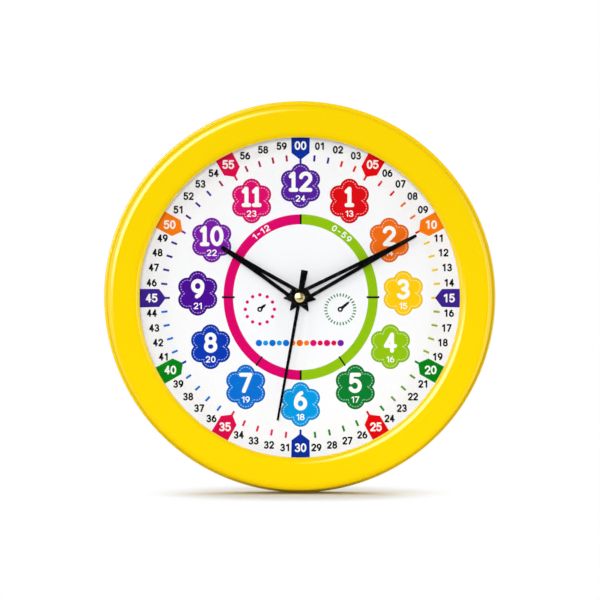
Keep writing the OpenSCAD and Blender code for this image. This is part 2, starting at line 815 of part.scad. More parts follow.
module negative_contact() {
    color("silver") stand() {
        slab(cell_u - contact_w / 2, cell_u + contact_w / 2) {
            translate([-inside_x, cell_y - contact_w])
                square([contact_t, inside_y - corner_r - cell_y + contact_w]);
            translate([-inside_x, inside_y - corner_r])
                strip([contact_t / 2, 0], [corner_r, corner_r - contact_t / 2], contact_t);
            translate([-inside_x + corner_r, inside_y - contact_t])
                square([inside_x - corner_r + board_left + contact_w, contact_t]);
            translate([board_left, board_high]) square([contact_w, inside_y - board_high]);
        }
        translate([-inside_x + contact_t - bite, cell_y, behind(cell_u)]) rotate([0, 90, 0])
            cylinder(d = 2 * contact_w, h = contact_pad + bite);
    }
}

module setting_knob() {
    phase = mesh_phase(motion_turn, motion_teeth, motion_phase, cannon_teeth);
    shoulder_u = tray_depth - end_shake;
    core_d = cannon_teeth * motion_module + 2 * PINION_TOOTH[0][0] * motion_module;
    color("whitesmoke") stand() translate(knob_at) {
        slab(movement_wall - pivot_depth, cannon_u + bite) circle(d = knob_pin_d);
        slab(cannon_u, cannon_u + motion_t) gear(cannon_teeth, motion_module, PINION_TOOTH, phase);
        slab(cannon_u, centre_u + bite) circle(d = core_d);
        slab(centre_u, shoulder_u) circle(d = knob_shaft_d);
        slab(shoulder_u - bite, movement_depth + knob_gap + bite) circle(d = knob_neck_d);
        slab(movement_depth + knob_gap, movement_depth + knob_gap + knob_t)
            polygon([for (i = [0:2 * knob_ridges - 1])
                polar(knob_d / 2 - (i % 2) * knob_ridge_h, 180 * i / knob_ridges)]);
    }
}

module battery_cell() {
    nub_d = 5.4;
    nub_h = 1.2;
    color("steelblue") stand() translate([-cell_len / 2, cell_y, behind(cell_u)]) rotate([0, 90, 0]) {
        cylinder(d = cell_d, h = cell_len - nub_h);
        cylinder(d = nub_d, h = cell_len);
    }
}

frame_ring();
lens();
spacer_ring();
dial();
back_plate();
case_screws();
mounting_gasket();
mounting_washer();
mounting_nut();
hour_hand();
minute_hand();
second_hand();
second_hand_cap();
movement_case();
movement_cover();
train_plate();
hour_wheel();
cannon_pinion();
centre_wheel();
motion_wheel();
second_wheel();
third_wheel();
intermediate_wheel();
rotor();
stator();
coil_bobbin();
coil_winding();
circuit_board();
chip();
crystal();
positive_contact();
negative_contact();
setting_knob();
battery_cell();
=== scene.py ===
# %% [markdown]
# # A teaching wall clock
# The real clock is a yellow moulded ring round a printed card. Three black hands turn on a brass-capped
# hub behind a clear lens, and a small quartz movement drives them from the back. Every piece already
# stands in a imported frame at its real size, so this lesson adds what the eye sees: smooth mouldings,
# print, finishes and a studio. All shapes are worked out in millimetres, with +Z up and the dial facing -Y.

# %% Load the frame
import json
import bmesh
import bpy
import numpy as np
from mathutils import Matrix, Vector

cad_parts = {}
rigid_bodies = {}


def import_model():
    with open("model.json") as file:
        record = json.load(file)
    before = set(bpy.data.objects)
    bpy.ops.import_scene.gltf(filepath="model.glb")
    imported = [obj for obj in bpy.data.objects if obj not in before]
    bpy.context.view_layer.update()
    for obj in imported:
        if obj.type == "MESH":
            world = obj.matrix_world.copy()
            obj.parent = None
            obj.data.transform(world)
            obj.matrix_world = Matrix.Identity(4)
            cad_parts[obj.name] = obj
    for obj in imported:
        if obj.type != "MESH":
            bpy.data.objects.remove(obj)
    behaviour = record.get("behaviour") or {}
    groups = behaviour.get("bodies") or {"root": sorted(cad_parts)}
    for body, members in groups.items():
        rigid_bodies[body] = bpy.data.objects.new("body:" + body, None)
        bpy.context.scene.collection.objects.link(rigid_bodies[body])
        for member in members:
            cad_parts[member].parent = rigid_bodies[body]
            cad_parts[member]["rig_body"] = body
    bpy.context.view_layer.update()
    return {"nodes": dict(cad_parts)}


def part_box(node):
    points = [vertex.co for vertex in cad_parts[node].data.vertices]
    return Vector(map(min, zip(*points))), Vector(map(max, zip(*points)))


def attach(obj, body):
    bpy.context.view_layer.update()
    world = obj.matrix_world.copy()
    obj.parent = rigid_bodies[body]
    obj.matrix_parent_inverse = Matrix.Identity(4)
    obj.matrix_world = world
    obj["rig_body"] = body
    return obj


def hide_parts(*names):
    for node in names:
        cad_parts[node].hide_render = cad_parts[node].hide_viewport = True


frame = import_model()

# %% [markdown]
# ## Sizes from the frame
# The outer sizes could be typed in again, but then they could drift from the solids. So each one is read
# from the box of the node that has it, and only shapes that the boxes can't tell are listed.

# %% Read the main sizes
MM = 0.001


def front_of(node):
    """The y of a node's front face, in millimetres; the front looks towards -Y."""
    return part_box(node)[0].y / MM


def back_of(node):
    """The y of a node's rear face, in millimetres."""
    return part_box(node)[1].y / MM


def radius_of(node):
    """Half the width of a round node, in millimetres."""
    low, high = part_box(node)
    return (high.x - low.x) / 2 / MM


def middle_of(node):
    """The middle of a node's box, in millimetres."""
    low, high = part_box(node)
    return np.array((low + high) / 2) / MM


CLOCK_R = radius_of("frame_ring")
CROWN_Y = front_of("frame_ring")
WALL_Y = back_of("frame_ring")
LENS_R = radius_of("lens")
LENS_Y = front_of("lens")
DIAL_R = radius_of("dial")
DIAL_Y = front_of("dial")
print(f"clock {2 * CLOCK_R:.1f} mm across and {WALL_Y - CROWN_Y:.1f} mm deep, dial {2 * DIAL_R:.1f} mm")

# %% [markdown]
# ## From arrays to pieces
# A shape is kept as a shell: an array of points and a list of faces that close it. The helpers below put a
# shell into a mesh, weld the places where a grid meets itself, and let the piece ride on the body that
# carries it. Points are never visited one by one: numpy works on whole columns.

# %% Put shells into meshes
SMOOTH_ANGLE = np.radians(32)
WELD = 1e-7


def grid_faces(rows, columns, wrap_rows, wrap_columns):
    """Quads of a grid of rows x columns points, each side joined to its start where it wraps."""
    row_span = np.arange(rows - (not wrap_rows))
    column_span = np.arange(columns - (not wrap_columns))
    i, j = np.meshgrid(row_span, column_span, indexing="ij")
    down, right = (i + 1) % rows, (j + 1) % columns
    corners = [i * columns + j, i * columns + right, down * columns + right, down * columns + j]
    return np.stack(corners, axis=-1).reshape(-1, 4).tolist()


def join_shells(shells):
    """One shell from many: the points are stacked, and each shell's corners skip the points before it."""
    counts = np.cumsum([0] + [len(points) for points, _ in shells])
    faces = [[corner + start for corner in face]
             for (_, shell_faces), start in zip(shells, counts) for face in shell_faces]
    return np.vstack([points for points, _ in shells]), faces


def mesh_of(name, shell):
    """A welded mesh in metres from a shell in millimetres, with its normals turned outwards."""
    points, faces = shell
    mesh = bpy.data.meshes.new(name)
    mesh.from_pydata((points * MM).tolist(), [], faces)
    skin = bmesh.new()
    skin.from_mesh(mesh)
    bmesh.ops.remove_doubles(skin, verts=skin.verts, dist=WELD)
    bmesh.ops.recalc_face_normals(skin, faces=skin.faces)
    skin.to_mesh(mesh)
    skin.free()
    return mesh


def round_shading(mesh):
    """Smooth faces, with a crease wherever two of them meet more sharply than SMOOTH_ANGLE."""
    mesh.polygons.foreach_set("use_smooth", np.ones(len(mesh.polygons), dtype=bool))
    mesh.set_sharp_from_angle(angle=SMOOTH_ANGLE)


def add_piece(name, mesh, material, body):
    """A new object at the origin that carries the mesh, rides on a body and takes a finish."""
    piece = bpy.data.objects.new(name, mesh)
    bpy.context.scene.collection.objects.link(piece)
    mesh.materials.clear()
    mesh.materials.append(material)
    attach(piece, body)
    print(f"{name}: {len(mesh.polygons)} faces on {body}")
    return piece


def add_round_piece(name, shell, material, body):
    """A piece with round shading, made straight from a shell."""
    mesh = mesh_of(name, shell)
    round_shading(mesh)
    return add_piece(name, mesh, material, body)


print("a tube of 3 x 4 points has", len(grid_faces(3, 4, False, True)), "faces")

# %% [markdown]
# ## Nodes in few words
# A finish is a small tree of shader nodes. Each node could be made, set and linked on lines of its own, but
# then the idea is lost among the links. Here one helper makes a node and feeds its inputs: the output of
# another node is linked, and a plain value is set on the socket itself.

# %% Make and feed nodes
def feed(tree, socket, value):
    """Link a socket to the output that feeds it, or set it where the value is plain."""
    if isinstance(value, bpy.types.NodeSocket):
        tree.links.new(value, socket)
    else:
        socket.default_value = value


def feed_named(tree, node, values):
    """Feed the inputs of a node by their names, where _ may stand for a space."""
    for name, value in values.items():
        feed(tree, node.inputs[name.replace("_", " ")], value)


def add_node(tree, kind, *values, settings=None, **named):
    """A new node with its settings; values feed its inputs in order, and named ones by name."""
    node = tree.nodes.new(kind)
    for name, value in (settings or {}).items():
        setattr(node, name, value)
    for socket, value in zip(node.inputs, values):
        feed(tree, socket, value)
    feed_named(tree, node, named)
    return node


def maths(tree, operation, *values):
    """The socket of a sum, a product or the like of one or two values."""
    return add_node(tree, "ShaderNodeMath", *values, settings={"operation": operation}).outputs["Value"]


def map_range(tree, value, start, stop, low=0.0, high=1.0, way="LINEAR"):
    """The socket of a number that goes from low to high while a value goes from start to stop."""
    spread = add_node(tree, "ShaderNodeMapRange", value, start, stop, low, high,
                      settings={"interpolation_type": way})
    return spread.outputs["Result"]


MIX_TYPES = {"Float": "FLOAT", "Color": "RGBA"}


def mix_of(tree, kind, share, low, high, blend="MIX"):
    """The socket of low + share * (high - low), for numbers or colours.
    A Mix node repeats its socket names, so they are found by their identifiers."""
    mix = add_node(tree, "ShaderNodeMix", settings={"data_type": MIX_TYPES[kind], "blend_type": blend})
    inputs = {socket.identifier: socket for socket in mix.inputs}
    for identifier, value in (("Factor_Float", share), (f"A_{kind}", low), (f"B_{kind}", high)):
        feed(tree, inputs[identifier], value)
    return next(socket for socket in mix.outputs if socket.identifier == f"Result_{kind}")


print("a mix is made for:", *MIX_TYPES)

# %% [markdown]
# ## Shared surface effects
# Moulded plastic, card and metal all vary a little over their surface. Two effects are used by more than
# one finish, so each is a node group: a fine grain with a slow drift of tone, and a set of fine turned
# lines. They only put out values; every shader stays in its own material.

# %% Build the node groups
GRAIN_DETAIL, TONE_DETAIL, TURNED_DETAIL = 3.0, 4.0, 2.0
NOISE_ROUGHNESS = 0.55
ACROSS_AXIS = (1, 0, 1)


def group_of(name, inputs, outputs):
    """An empty node group with float sockets, and its two end nodes."""
    group = bpy.data.node_groups.new(name, "ShaderNodeTree")
    for way, sockets in (("INPUT", inputs), ("OUTPUT", outputs)):
        for socket in sockets:
            group.interface.new_socket(name=socket, in_out=way, socket_type="NodeSocketFloat")
    return group, group.nodes.new("NodeGroupInput"), group.nodes.new("NodeGroupOutput")


def moulded_grain_group():
    """Height: fine noise of the given scale. Tone: slow noise of a given size, from 0 to 1."""
    group, start, end = group_of("moulded_grain", ["Grain Scale", "Tone Scale"], ["Height", "Tone"])
    place = add_node(group, "ShaderNodeTexCoord").outputs["Object"]
    for size, out, detail in (("Grain Scale", "Height", GRAIN_DETAIL), ("Tone Scale", "Tone", TONE_DETAIL)):
        noise = add_node(group, "ShaderNodeTexNoise", Vector=place, Scale=start.outputs[size],
                         Detail=detail, Roughness=NOISE_ROUGHNESS)
        feed(group, end.inputs[out], noise.outputs["Fac"])
    return group


def turned_lines_group():
    """Height: rings about the clock's axis, as a lathe leaves them; Lines of them go to a metre."""
    group, start, end = group_of("turned_lines", ["Lines"], ["Height"])
    place = add_node(group, "ShaderNodeTexCoord").outputs["Object"]
    flat = add_node(group, "ShaderNodeVectorMath", place, ACROSS_AXIS, settings={"operation": "MULTIPLY"})
    reach = add_node(group, "ShaderNodeVectorMath", flat.outputs["Vector"], settings={"operation": "LENGTH"})
    noise = add_node(group, "ShaderNodeTexNoise", settings={"noise_dimensions": "1D"},
                     W=reach.outputs["Value"], Scale=start.outputs["Lines"], Detail=TURNED_DETAIL)
    feed(group, end.inputs["Height"], noise.outputs["Fac"])
    return group


GRAIN = moulded_grain_group()
TURNED = turned_lines_group()
print("groups:", GRAIN.name, TURNED.name)

# %% [markdown]
# ## What finishes have in common
# Each finish starts from one Principled shader. Its colour drifts by a few parts in a hundred, its
# roughness wanders with the same slow noise, and a bump gives the grain of the tool that made it. What is
# the same all over, such as metal or an index of refraction, is set straight on the shader.

# %% Mix colours and add grain
TONE_LOW, TONE_HIGH = 0.3, 0.7


def linear(red, green, blue):
    """A screen colour from 0 to 255 as linear light: ((c + 0.055) / 1.055) ^ 2.4, or c / 12.92 when dark."""
    share = np.array([red, green, blue]) / 255
    light = np.where(share <= 0.04045, share / 12.92, ((share + 0.055) / 1.055) ** 2.4)
    return (*light.tolist(), 1.0)


def shaded(colour, share):
    """A colour made darker or lighter by a share, with its alpha kept."""
    return (*[min(1.0, channel * share) for channel in colour[:3]], 1.0)


def new_material(name):
    """A material with its tree and its Principled shader."""
    material = bpy.data.materials.new(name)
    material.use_nodes = True
    return material, material.node_tree, material.node_tree.nodes["Principled BSDF"]


def add_grain(tree, tone, grain=0.0):
    """The sockets of the grain group's height and tone; the grain stays flat where only tone is used."""
    surface = add_node(tree, "ShaderNodeGroup", grain, tone, settings={"node_tree": GRAIN})
    return surface.outputs["Height"], surface.outputs["Tone"]


def wander(tree, tone, low, high):
    """A number from low to high that follows a tone from TONE_LOW to TONE_HIGH; returns its socket."""
    return map_range(tree, tone, TONE_LOW, TONE_HIGH, low, high)


def add_bump(tree, shader, height, depth):
    """Bend the shader's normal by a height whose full swing is depth millimetres."""
    bump = add_node(tree, "ShaderNodeBump", Strength=1.0, Distance=depth * MM, Height=height)
    feed(tree, shader.inputs["Normal"], bump.outputs["Normal"])


print("mid grey is", round(linear(128, 128, 128)[0], 3), "as linear light")

# %% [markdown]
# ## Plain and turned finishes
# Most pieces are moulded, pressed or painted, and one function with a few numbers covers them all: colour,
# roughness, grain and drift. Turned brass differs, because the lathe's rings break up its reflections, so
# its roughness and its bump follow the rings.

# %% Write the plain and the turned finish
TURNED_TONE, TURNED_DARK, TURNED_PALE = 120.0, 0.9, 1.05


def plain_finish(name, colour, rough, grain=1500.0, depth=0.02, drift=0.05, tone=25.0, metal=0.0, shine=0.5):
    """A finish whose colour, roughness and grain all wander a little over the piece."""
    material, tree, shader = new_material(name)
    height, wave = add_grain(tree, tone, grain)
    colours = mix_of(tree, "Color", wave, shaded(colour, 1 - drift), shaded(colour, 1 + drift))
    feed_named(tree, shader, {"Base Color": colours, "Roughness": wander(tree, wave, *rough),
                              "Metallic": metal, "Specular IOR Level": shine})
    add_bump(tree, shader, height, depth)
    return material


def turned_finish(name, colour, rough, lines, depth):
    """A metal turned on a lathe: fine rings about the clock's axis break up its reflections."""
    material, tree, shader = new_material(name)
    _, wave = add_grain(tree, TURNED_TONE)
    rings = add_node(tree, "ShaderNodeGroup", lines, settings={"node_tree": TURNED}).outputs["Height"]
    colours = mix_of(tree, "Color", wave, shaded(colour, TURNED_DARK), shaded(colour, TURNED_PALE))
    feed_named(tree, shader, {"Base Color": colours, "Roughness": wander(tree, rings, *rough),
                              "Metallic": 1.0})
    add_bump(tree, shader, rings, depth)
    return material


print("a turned metal drifts from", TURNED_DARK, "to", TURNED_PALE, "of its colour")

# %% [markdown]
# ## Ink and lens
# Printed ink takes its colour from the face it lies on, so one finish serves all the print. The lens is
# clear plastic. Light that is on its way to the dial should pass it freely, so shadow and diffuse rays meet
# a plain transparent shader, and only what the eye sees is bent and mirrored.

# %% Write the ink and the lens
INK_THIN, INK_FULL, INK_ROUGH, INK_SHINE = (0.94, 0.94, 0.94, 1), (1, 1, 1, 1), (0.5, 0.6), 0.05
INK_TONE, INK_GRAIN, INK_DEPTH = 60.0, 2500.0, 0.004
LENS_TINT, LENS_PASSES = (0.995, 0.998, 0.998, 1), (0.99, 0.99, 0.99, 1)
LENS_IOR, LENS_TONE, LENS_ROUGH = 1.45, 18.0, (0.0, 0.03)


def ink_finish(name):
    """Print: the colour is each face's own ink, a little uneven, with the soft gloss of a coated card."""
    material, tree, shader = new_material(name)
    height, wave = add_grain(tree, INK_TONE, INK_GRAIN)
    ink = add_node(tree, "ShaderNodeAttribute", settings={"attribute_name": "ink"}).outputs["Color"]
    cover = mix_of(tree, "Color", wave, INK_THIN, INK_FULL)
    colours = mix_of(tree, "Color", 1.0, ink, cover, blend="MULTIPLY")
    feed_named(tree, shader, {"Base Color": colours, "Roughness": wander(tree, wave, *INK_ROUGH),
                              "Specular IOR Level": INK_SHINE})
    add_bump(tree, shader, height, INK_DEPTH)
    return material


def lens_finish(name):
    """Clear polished sheet: it bends and mirrors what is seen, and lets light through to the dial."""
    material, tree, shader = new_material(name)
    _, wave = add_grain(tree, LENS_TONE)
    feed_named(tree, shader, {"Base Color": LENS_TINT, "Roughness": wander(tree, wave, *LENS_ROUGH),
                              "IOR": LENS_IOR, "Transmission Weight": 1.0})
    path = add_node(tree, "ShaderNodeLightPath").outputs
    passes = maths(tree, "MAXIMUM", path["Is Shadow Ray"], path["Is Diffuse Ray"])
    clear = add_node(tree, "ShaderNodeBsdfTransparent", LENS_PASSES)
    mix = add_node(tree, "ShaderNodeMixShader", passes, shader.outputs["BSDF"], clear.outputs["BSDF"])
    feed(tree, tree.nodes["Material Output"].inputs["Surface"], mix.outputs["Shader"])
    return material


print("the lens has an index of refraction of", LENS_IOR)

# %% [markdown]
# ## The clock's finishes
# The yellow plastic is glossy and nearly even. The card and the hands have hardly any shine, the back is
# grained, and the metals are smooth. Colours are written as they look on a screen, roughness as a range,
# and then come the scale and depth of the grain, the drift of the colour and the scale of its tone.

# %% Choose the finishes
FRAME_YELLOW = plain_finish("frame_yellow", linear(245, 209, 3), (0.06, 0.09), 700, 0.001, 0.012, 9.0)
LENS_CLEAR = lens_finish("lens_clear")
SPACER_WHITE = plain_finish("spacer_white", linear(240, 239, 236), (0.45, 0.55))
DIAL_CARD = plain_finish("dial_card", linear(247, 248, 251), (0.5, 0.6), 1800, 0.006, 0.006, 40.0, shine=0.05)
DIAL_INK = ink_finish("dial_ink")
HAND_BLACK = plain_finish("hand_black", linear(3, 3, 4), (0.24, 0.32), 2200, 0.004, 0.15, 80.0, shine=0.04)
CAP_BRASS = turned_finish("cap_brass", linear(240, 218, 150), (0.2, 0.3), 9000.0, 0.002)
BRASS = turned_finish("turned_brass", linear(205, 170, 92), (0.25, 0.4), 6000.0, 0.004)
BACK_IVORY = plain_finish("back_ivory", linear(238, 235, 226), (0.5, 0.62), 900, 0.03, 0.02, 14.0)
MOVEMENT_BLACK = plain_finish("movement_black", linear(38, 38, 40), (0.5, 0.62), 1600, 0.03, 0.12, 60.0)
COVER_BLACK = plain_finish("cover_black", linear(44, 44, 46), (0.45, 0.58), 1600, 0.03, 0.12, 60.0)
SCREW_ZINC = plain_finish(
    "screw_zinc", linear(200, 202, 204), (0.25, 0.38), 2600, 0.006, 0.06, 300.0, metal=1.0)
NICKEL = plain_finish(
    "contact_nickel", linear(212, 209, 202), (0.2, 0.32), 3000, 0.004, 0.05, 200.0, metal=1.0)
KNOB_PALE = plain_finish("knob_pale", linear(226, 226, 221), (0.4, 0.5), 1800, 0.015, 0.02, 120.0)
print(len(bpy.data.materials), "materials so far")

# %% [markdown]
# ## The frame
# The ring is one moulding: a flat crown, a rounded lip towards the dial, a rounded shoulder, and a thin
# flange at the wall. A Spin or a Screw modifier could turn the section, but the section is easier to read
# as arcs in an array. The closed section is carried once round the axis, so the surface is
# x = r sin t, y = wall - h, z = r cos t for each point (r, h) of the section.

# %% Turn the frame's section
RING_STEPS = 288
FLANGE_W, FLANGE_H, FLANGE_ROUND = 3.0, 14.0, 1.2
EDGE_STEPS, FLANGE_STEPS, SHOULDER_STEPS, LIP_STEPS, INNER_STEPS = 6, 10, 32, 28, 12
SHOULDER_W, SHOULDER_H = 6.0, 5.0
LIP_W, LIP_H = 6.0, 5.0
LIP_R = 124.0
FRAME_WALL, SKIRT_WALL, SEAT_GAP = 2.6, 2.4, 0.3
REAR_ROUND = 0.6


def arc(centre, radii, start, stop, steps):
    """Points of an elliptic arc: centre + radii * (cos t, sin t), with t in degrees."""
    t = np.radians(np.linspace(start, stop, steps))
    return np.column_stack([centre[0] + radii[0] * np.cos(t), centre[1] + radii[1] * np.sin(t)])


def height_of(y):
    """How far a depth y stands in front of the wall."""
    return WALL_Y - y


def turned_shell(section, steps, closed=True):
    """A section (r, h) carried round the clock's axis; it is closed, or open with both ends on the axis."""
    t = np.linspace(0, 2 * np.pi, steps, endpoint=False)[:, None]
    r, h = section[:, 0], section[:, 1]
    points = np.stack([r * np.sin(t), np.broadcast_to(WALL_Y - h, (steps, len(h))), r * np.cos(t)], axis=-1)
    return points.reshape(-1, 3), grid_faces(steps, len(section), True, closed)


def frame_section():
    """The frame's section, from the wall up the outside, over the crown, down the lip and back inside."""
    side_r = CLOCK_R - FLANGE_W
    depth = height_of(CROWN_Y)
    seat, dial = height_of(LENS_Y), height_of(DIAL_Y)
    skirt_r = LENS_R + SEAT_GAP
    shoulder = (side_r - SHOULDER_W, depth - SHOULDER_H)
    inner_flange = CLOCK_R - FRAME_WALL
    edge = REAR_ROUND
    return np.vstack([
        arc((CLOCK_R - edge, edge), (edge, edge), -90, 0, EDGE_STEPS),
        arc((CLOCK_R - FLANGE_ROUND, FLANGE_H - FLANGE_ROUND), (FLANGE_ROUND, FLANGE_ROUND), 0, 90,
            FLANGE_STEPS),
        arc((side_r + edge, FLANGE_H + edge), (edge, edge), 270, 180, EDGE_STEPS),
        arc(shoulder, (SHOULDER_W, SHOULDER_H), 0, 90, SHOULDER_STEPS),
        arc((LIP_R + LIP_W, depth - LIP_H), (LIP_W, LIP_H), 90, 180, LIP_STEPS),
        [[LIP_R, seat], [skirt_r, seat], [skirt_r, dial], [skirt_r + SKIRT_WALL, dial]],
        [[skirt_r + SKIRT_WALL, depth - FRAME_WALL]],
        arc(shoulder, (SHOULDER_W - FRAME_WALL, SHOULDER_H - FRAME_WALL), 90, 0, INNER_STEPS),
        [[side_r - FRAME_WALL, FLANGE_H - FRAME_WALL], [inner_flange, FLANGE_H - FRAME_WALL]],
        arc((inner_flange + edge, edge), (edge, edge), 180, 270, EDGE_STEPS),
    ])


ring = turned_shell(frame_section(), RING_STEPS)
moulded_ring = add_round_piece("moulded_ring", ring, FRAME_YELLOW, "case")
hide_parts("frame_ring")

# %% [markdown]
# ## Screw bosses
# Six hollow bosses stand in the frame's channel and take the case screws. They are hidden on the finished
# clock, but the screws need something to bite, so each is a short tube whose section is a rectangle
# carried round the screw's own axis.

# %% Stand the bosses in the channel
SCREWS = 6
BOSS_R, BOSS_BORE_R = 4.0, 1.55
BOSS_STEPS = 40
BOSS_BITE = 0.2
CHANNEL_MIDDLE = (LENS_R + SEAT_GAP + SKIRT_WALL + CLOCK_R - FLANGE_W - FRAME_WALL) / 2


def boss_shell(turn):
    """A tube about a line parallel to Y, at an angle round the frame in degrees."""
    low = height_of(back_of("dial"))
    high = height_of(CROWN_Y) - FRAME_WALL + BOSS_BITE
    section = np.array([[BOSS_R, low], [BOSS_R, high], [BOSS_BORE_R, high], [BOSS_BORE_R, low]])
    points, faces = turned_shell(section, BOSS_STEPS)
    at = np.radians(turn)
    return points + [CHANNEL_MIDDLE * np.cos(at), 0, CHANNEL_MIDDLE * np.sin(at)], faces


bosses = join_shells([boss_shell(360 * i / SCREWS) for i in range(SCREWS)])
add_round_piece("screw_bosses", bosses, FRAME_YELLOW, "case")

# %% [markdown]
# ## Plates that are right already
# Some solids need no new shape: the lens and the dial are plain discs, and the wheels are exact gears. They
# stay as they are and only take a finish, which goes into the material slot of their object.

# %% Give nodes a finish
def dress(material, *nodes):
    """Put one material on the slots of the named nodes, which keep their own meshes."""
    for name in nodes:
        for slot in frame["nodes"][name].material_slots:
            slot.link = "OBJECT"
            slot.material = material


dress(LENS_CLEAR, "lens")
dress(SPACER_WHITE, "spacer_ring")
dress(DIAL_CARD, "dial")
dress(BRASS, "mounting_washer", "cannon_pinion", "centre_wheel")
print("dressed the lens, the dial and what lies between them")

# %% [markdown]
# ## Print as thin slabs
# The dial's print could be a picture, but a picture blurs when the reader comes close and says nothing
# about the shapes. Here each mark is a slab that stands at most a tenth of a millimetre proud of the card.
# Most marks are bars: two edges, left and right, with a top, a bottom and closed ends. A slab is drawn in
# the dial's plane as (u, v, w), with u to the right, v up, and w from 0 at its foot to 1 at its top.

# %% Draw slabs
WELD_DIGITS = 5


def welded(shell):
    """The shell with equal points made one, and faces that shrink to a line dropped."""
    points, faces = shell
    unique, index = np.unique(np.round(points, WELD_DIGITS), axis=0, return_inverse=True)
    index = index.ravel()
    slim = [list(dict.fromkeys(index[face].tolist())) for face in faces]
    return unique, [face for face in slim if len(face) > 2]


def bar(left, right, closed=False):
    """A slab between two edges of n points: each station has four corners, and the ends are capped."""
    n = len(left)
    stations = np.zeros((n, 4, 3))
    stations[:, 0, :2], stations[:, 1, :2] = left, right
    stations[:, 2, :2], stations[:, 3, :2] = right, left
    stations[:, :2, 2] = 1
    faces = grid_faces(n, 4, closed, True)
    if not closed:
        faces += [[0, 3, 2, 1], [4 * n - 4, 4 * n - 3, 4 * n - 2, 4 * n - 1]]
    return welded((stations.reshape(-1, 3), faces))


def patch(outline):
    """A slab inside an outline that its own centre sees all of: a fan above, a fan below and a wall."""
    n = len(outline)
    rim = np.column_stack([outline, np.ones(n)])
    foot = rim * [1, 1, 0]
    points = np.vstack([rim, foot, [[0, 0, 1], [0, 0, 0]]])
    i = np.arange(n)
    j = (i + 1) % n
    wall = np.column_stack([i, i + n, j + n, j]).tolist()
    top = np.column_stack([np.full(n, 2 * n), i, j]).tolist()
    bottom = np.column_stack([np.full(n, 2 * n + 1), j + n, i + n]).tolist()
    return points, wall + top + bottom


print("a triangular patch has", len(patch(np.array([[1, 0], [-1, 1], [-1, -1]]))[1]), "faces")

# %% [markdown]
# ## Bars and pens
# A tick is a bar with square ends. A numeral's line has round ends, as a marker leaves them, so there the
# half width follows a quarter circle past each end of the path.

# %% Draw straight bars and pen strokes
PEN_END_STEPS = 5


def straight(start, stop, width):
    """A square-ended bar from start to stop."""
    start, stop = np.array(start, dtype=float), np.array(stop, dtype=float)
    way = (stop - start) / np.linalg.norm(stop - start)
    side = width / 2 * np.array([-way[1], way[0]])
    return bar(np.array([start + side, stop + side]), np.array([start - side, stop - side]))


def stroke(path, pen, closed=False):
    """A bar that a round pen draws: edges at path +- pen * normal.
    Past each end the path runs on by pen * sin t while the half width falls as pen * cos t."""
    ahead = (np.roll(path, -1, 0) - np.roll(path, 1, 0)) if closed else np.gradient(path, axis=0)
    ahead = ahead / np.linalg.norm(ahead, axis=1, keepdims=True)
    half = np.full(len(path), pen)
    if not closed:
        t = np.linspace(0, np.pi / 2, PEN_END_STEPS)[1:]
        run, width = pen * np.sin(t), pen * np.cos(t)
        path = np.vstack([path[0] - np.outer(run[::-1], ahead[0]), path, path[-1] + np.outer(run, ahead[-1])])
        ahead = np.vstack([np.repeat(ahead[:1], len(t), 0), ahead, np.repeat(ahead[-1:], len(t), 0)])
        half = np.concatenate([width[::-1], half, width])
    side = np.column_stack([-ahead[:, 1], ahead[:, 0]]) * half[:, None]
    return bar(path + side, path - side, closed)


print("a round-ended bar has", len(stroke(np.array([[0.0, 0.0], [4.0, 0.0]]), 0.5)[1]), "faces")

# %% [markdown]
# ## Numerals from pen strokes
# The big hour numerals are soft and round, like letters drawn with a thick marker. The built-in font is
# thinner and square-ended, so the numerals are drawn instead: each is a few lines and arcs in a unit box,
# which are later stretched to their size and followed by a round pen.

# %% Draw the characters
def line(*corners):
    """A path through corners, as an array."""
    return np.array(corners, dtype=float)


def loop(centre, radii, steps=28):
    """A closed ellipse without its repeated last point."""
    return arc(centre, radii, 90, 450, steps + 1)[:-1]


OPEN, CLOSED = False, True
SIX = [(loop((0.5, 0.31), (0.5, 0.31)), CLOSED), (arc((0.95, 0.31), (0.95, 0.69), 180, 112, 12), OPEN)]
CHARACTERS = {
    "0": [(loop((0.5, 0.5), (0.5, 0.5)), CLOSED)],
    "1": [(line((1, 0), (1, 1)), OPEN), (line((1, 1), (0, 0.8)), OPEN)],
    "2": [(np.vstack([arc((0.5, 0.72), (0.5, 0.28), 168, -38, 20), [[0.02, 0.01]]]), OPEN),
          (line((0.02, 0), (1, 0)), OPEN)],
    "3": [(arc((0.47, 0.75), (0.43, 0.25), 152, -90, 20), OPEN),
          (arc((0.47, 0.25), (0.5, 0.25), 90, -152, 20), OPEN)],
    "4": [(line((0.68, 0), (0.68, 1)), OPEN), (line((0.68, 1), (0, 0.3)), OPEN),
          (line((0, 0.3), (1, 0.3)), OPEN)],
    "5": [(line((0.13, 1), (0.9, 1)), OPEN), (line((0.13, 1), (0.07, 0.54)), OPEN),
          (arc((0.46, 0.32), (0.52, 0.32), 138, -150, 24), OPEN)],
    "6": SIX,
    "7": [(line((0, 1), (1, 1)), OPEN), (line((1, 1), (0.3, 0)), OPEN)],
    "8": [(loop((0.5, 0.755), (0.42, 0.245)), CLOSED), (loop((0.5, 0.265), (0.5, 0.265)), CLOSED)],
    "9": [(1 - path, closed) for path, closed in SIX],
    "-": [(line((0.1, 0.45), (0.9, 0.45)), OPEN)],
    "footed 1": [(line((0.5, 0), (0.5, 1)), OPEN), (line((0.5, 1), (0, 0.83)), OPEN),
                 (line((0, 0), (1, 0)), OPEN)],
}
NARROW = {"1": 0.48, "footed 1": 0.6, "-": 0.7}
print("drew", len(CHARACTERS), "characters from", sum(len(s) for s in CHARACTERS.values()), "strokes")

# %% [markdown]
# ## Setting type
# Where the strokes of a character cross, an exact union makes one shell of them. A character is kept once
# it is drawn, because the dial needs most of them many times. Characters then stand in a line, either
# closely one after the other or at an even pitch.

# %% Fuse strokes and set lines of type
INDENT = 0.3
DRAWN = {}


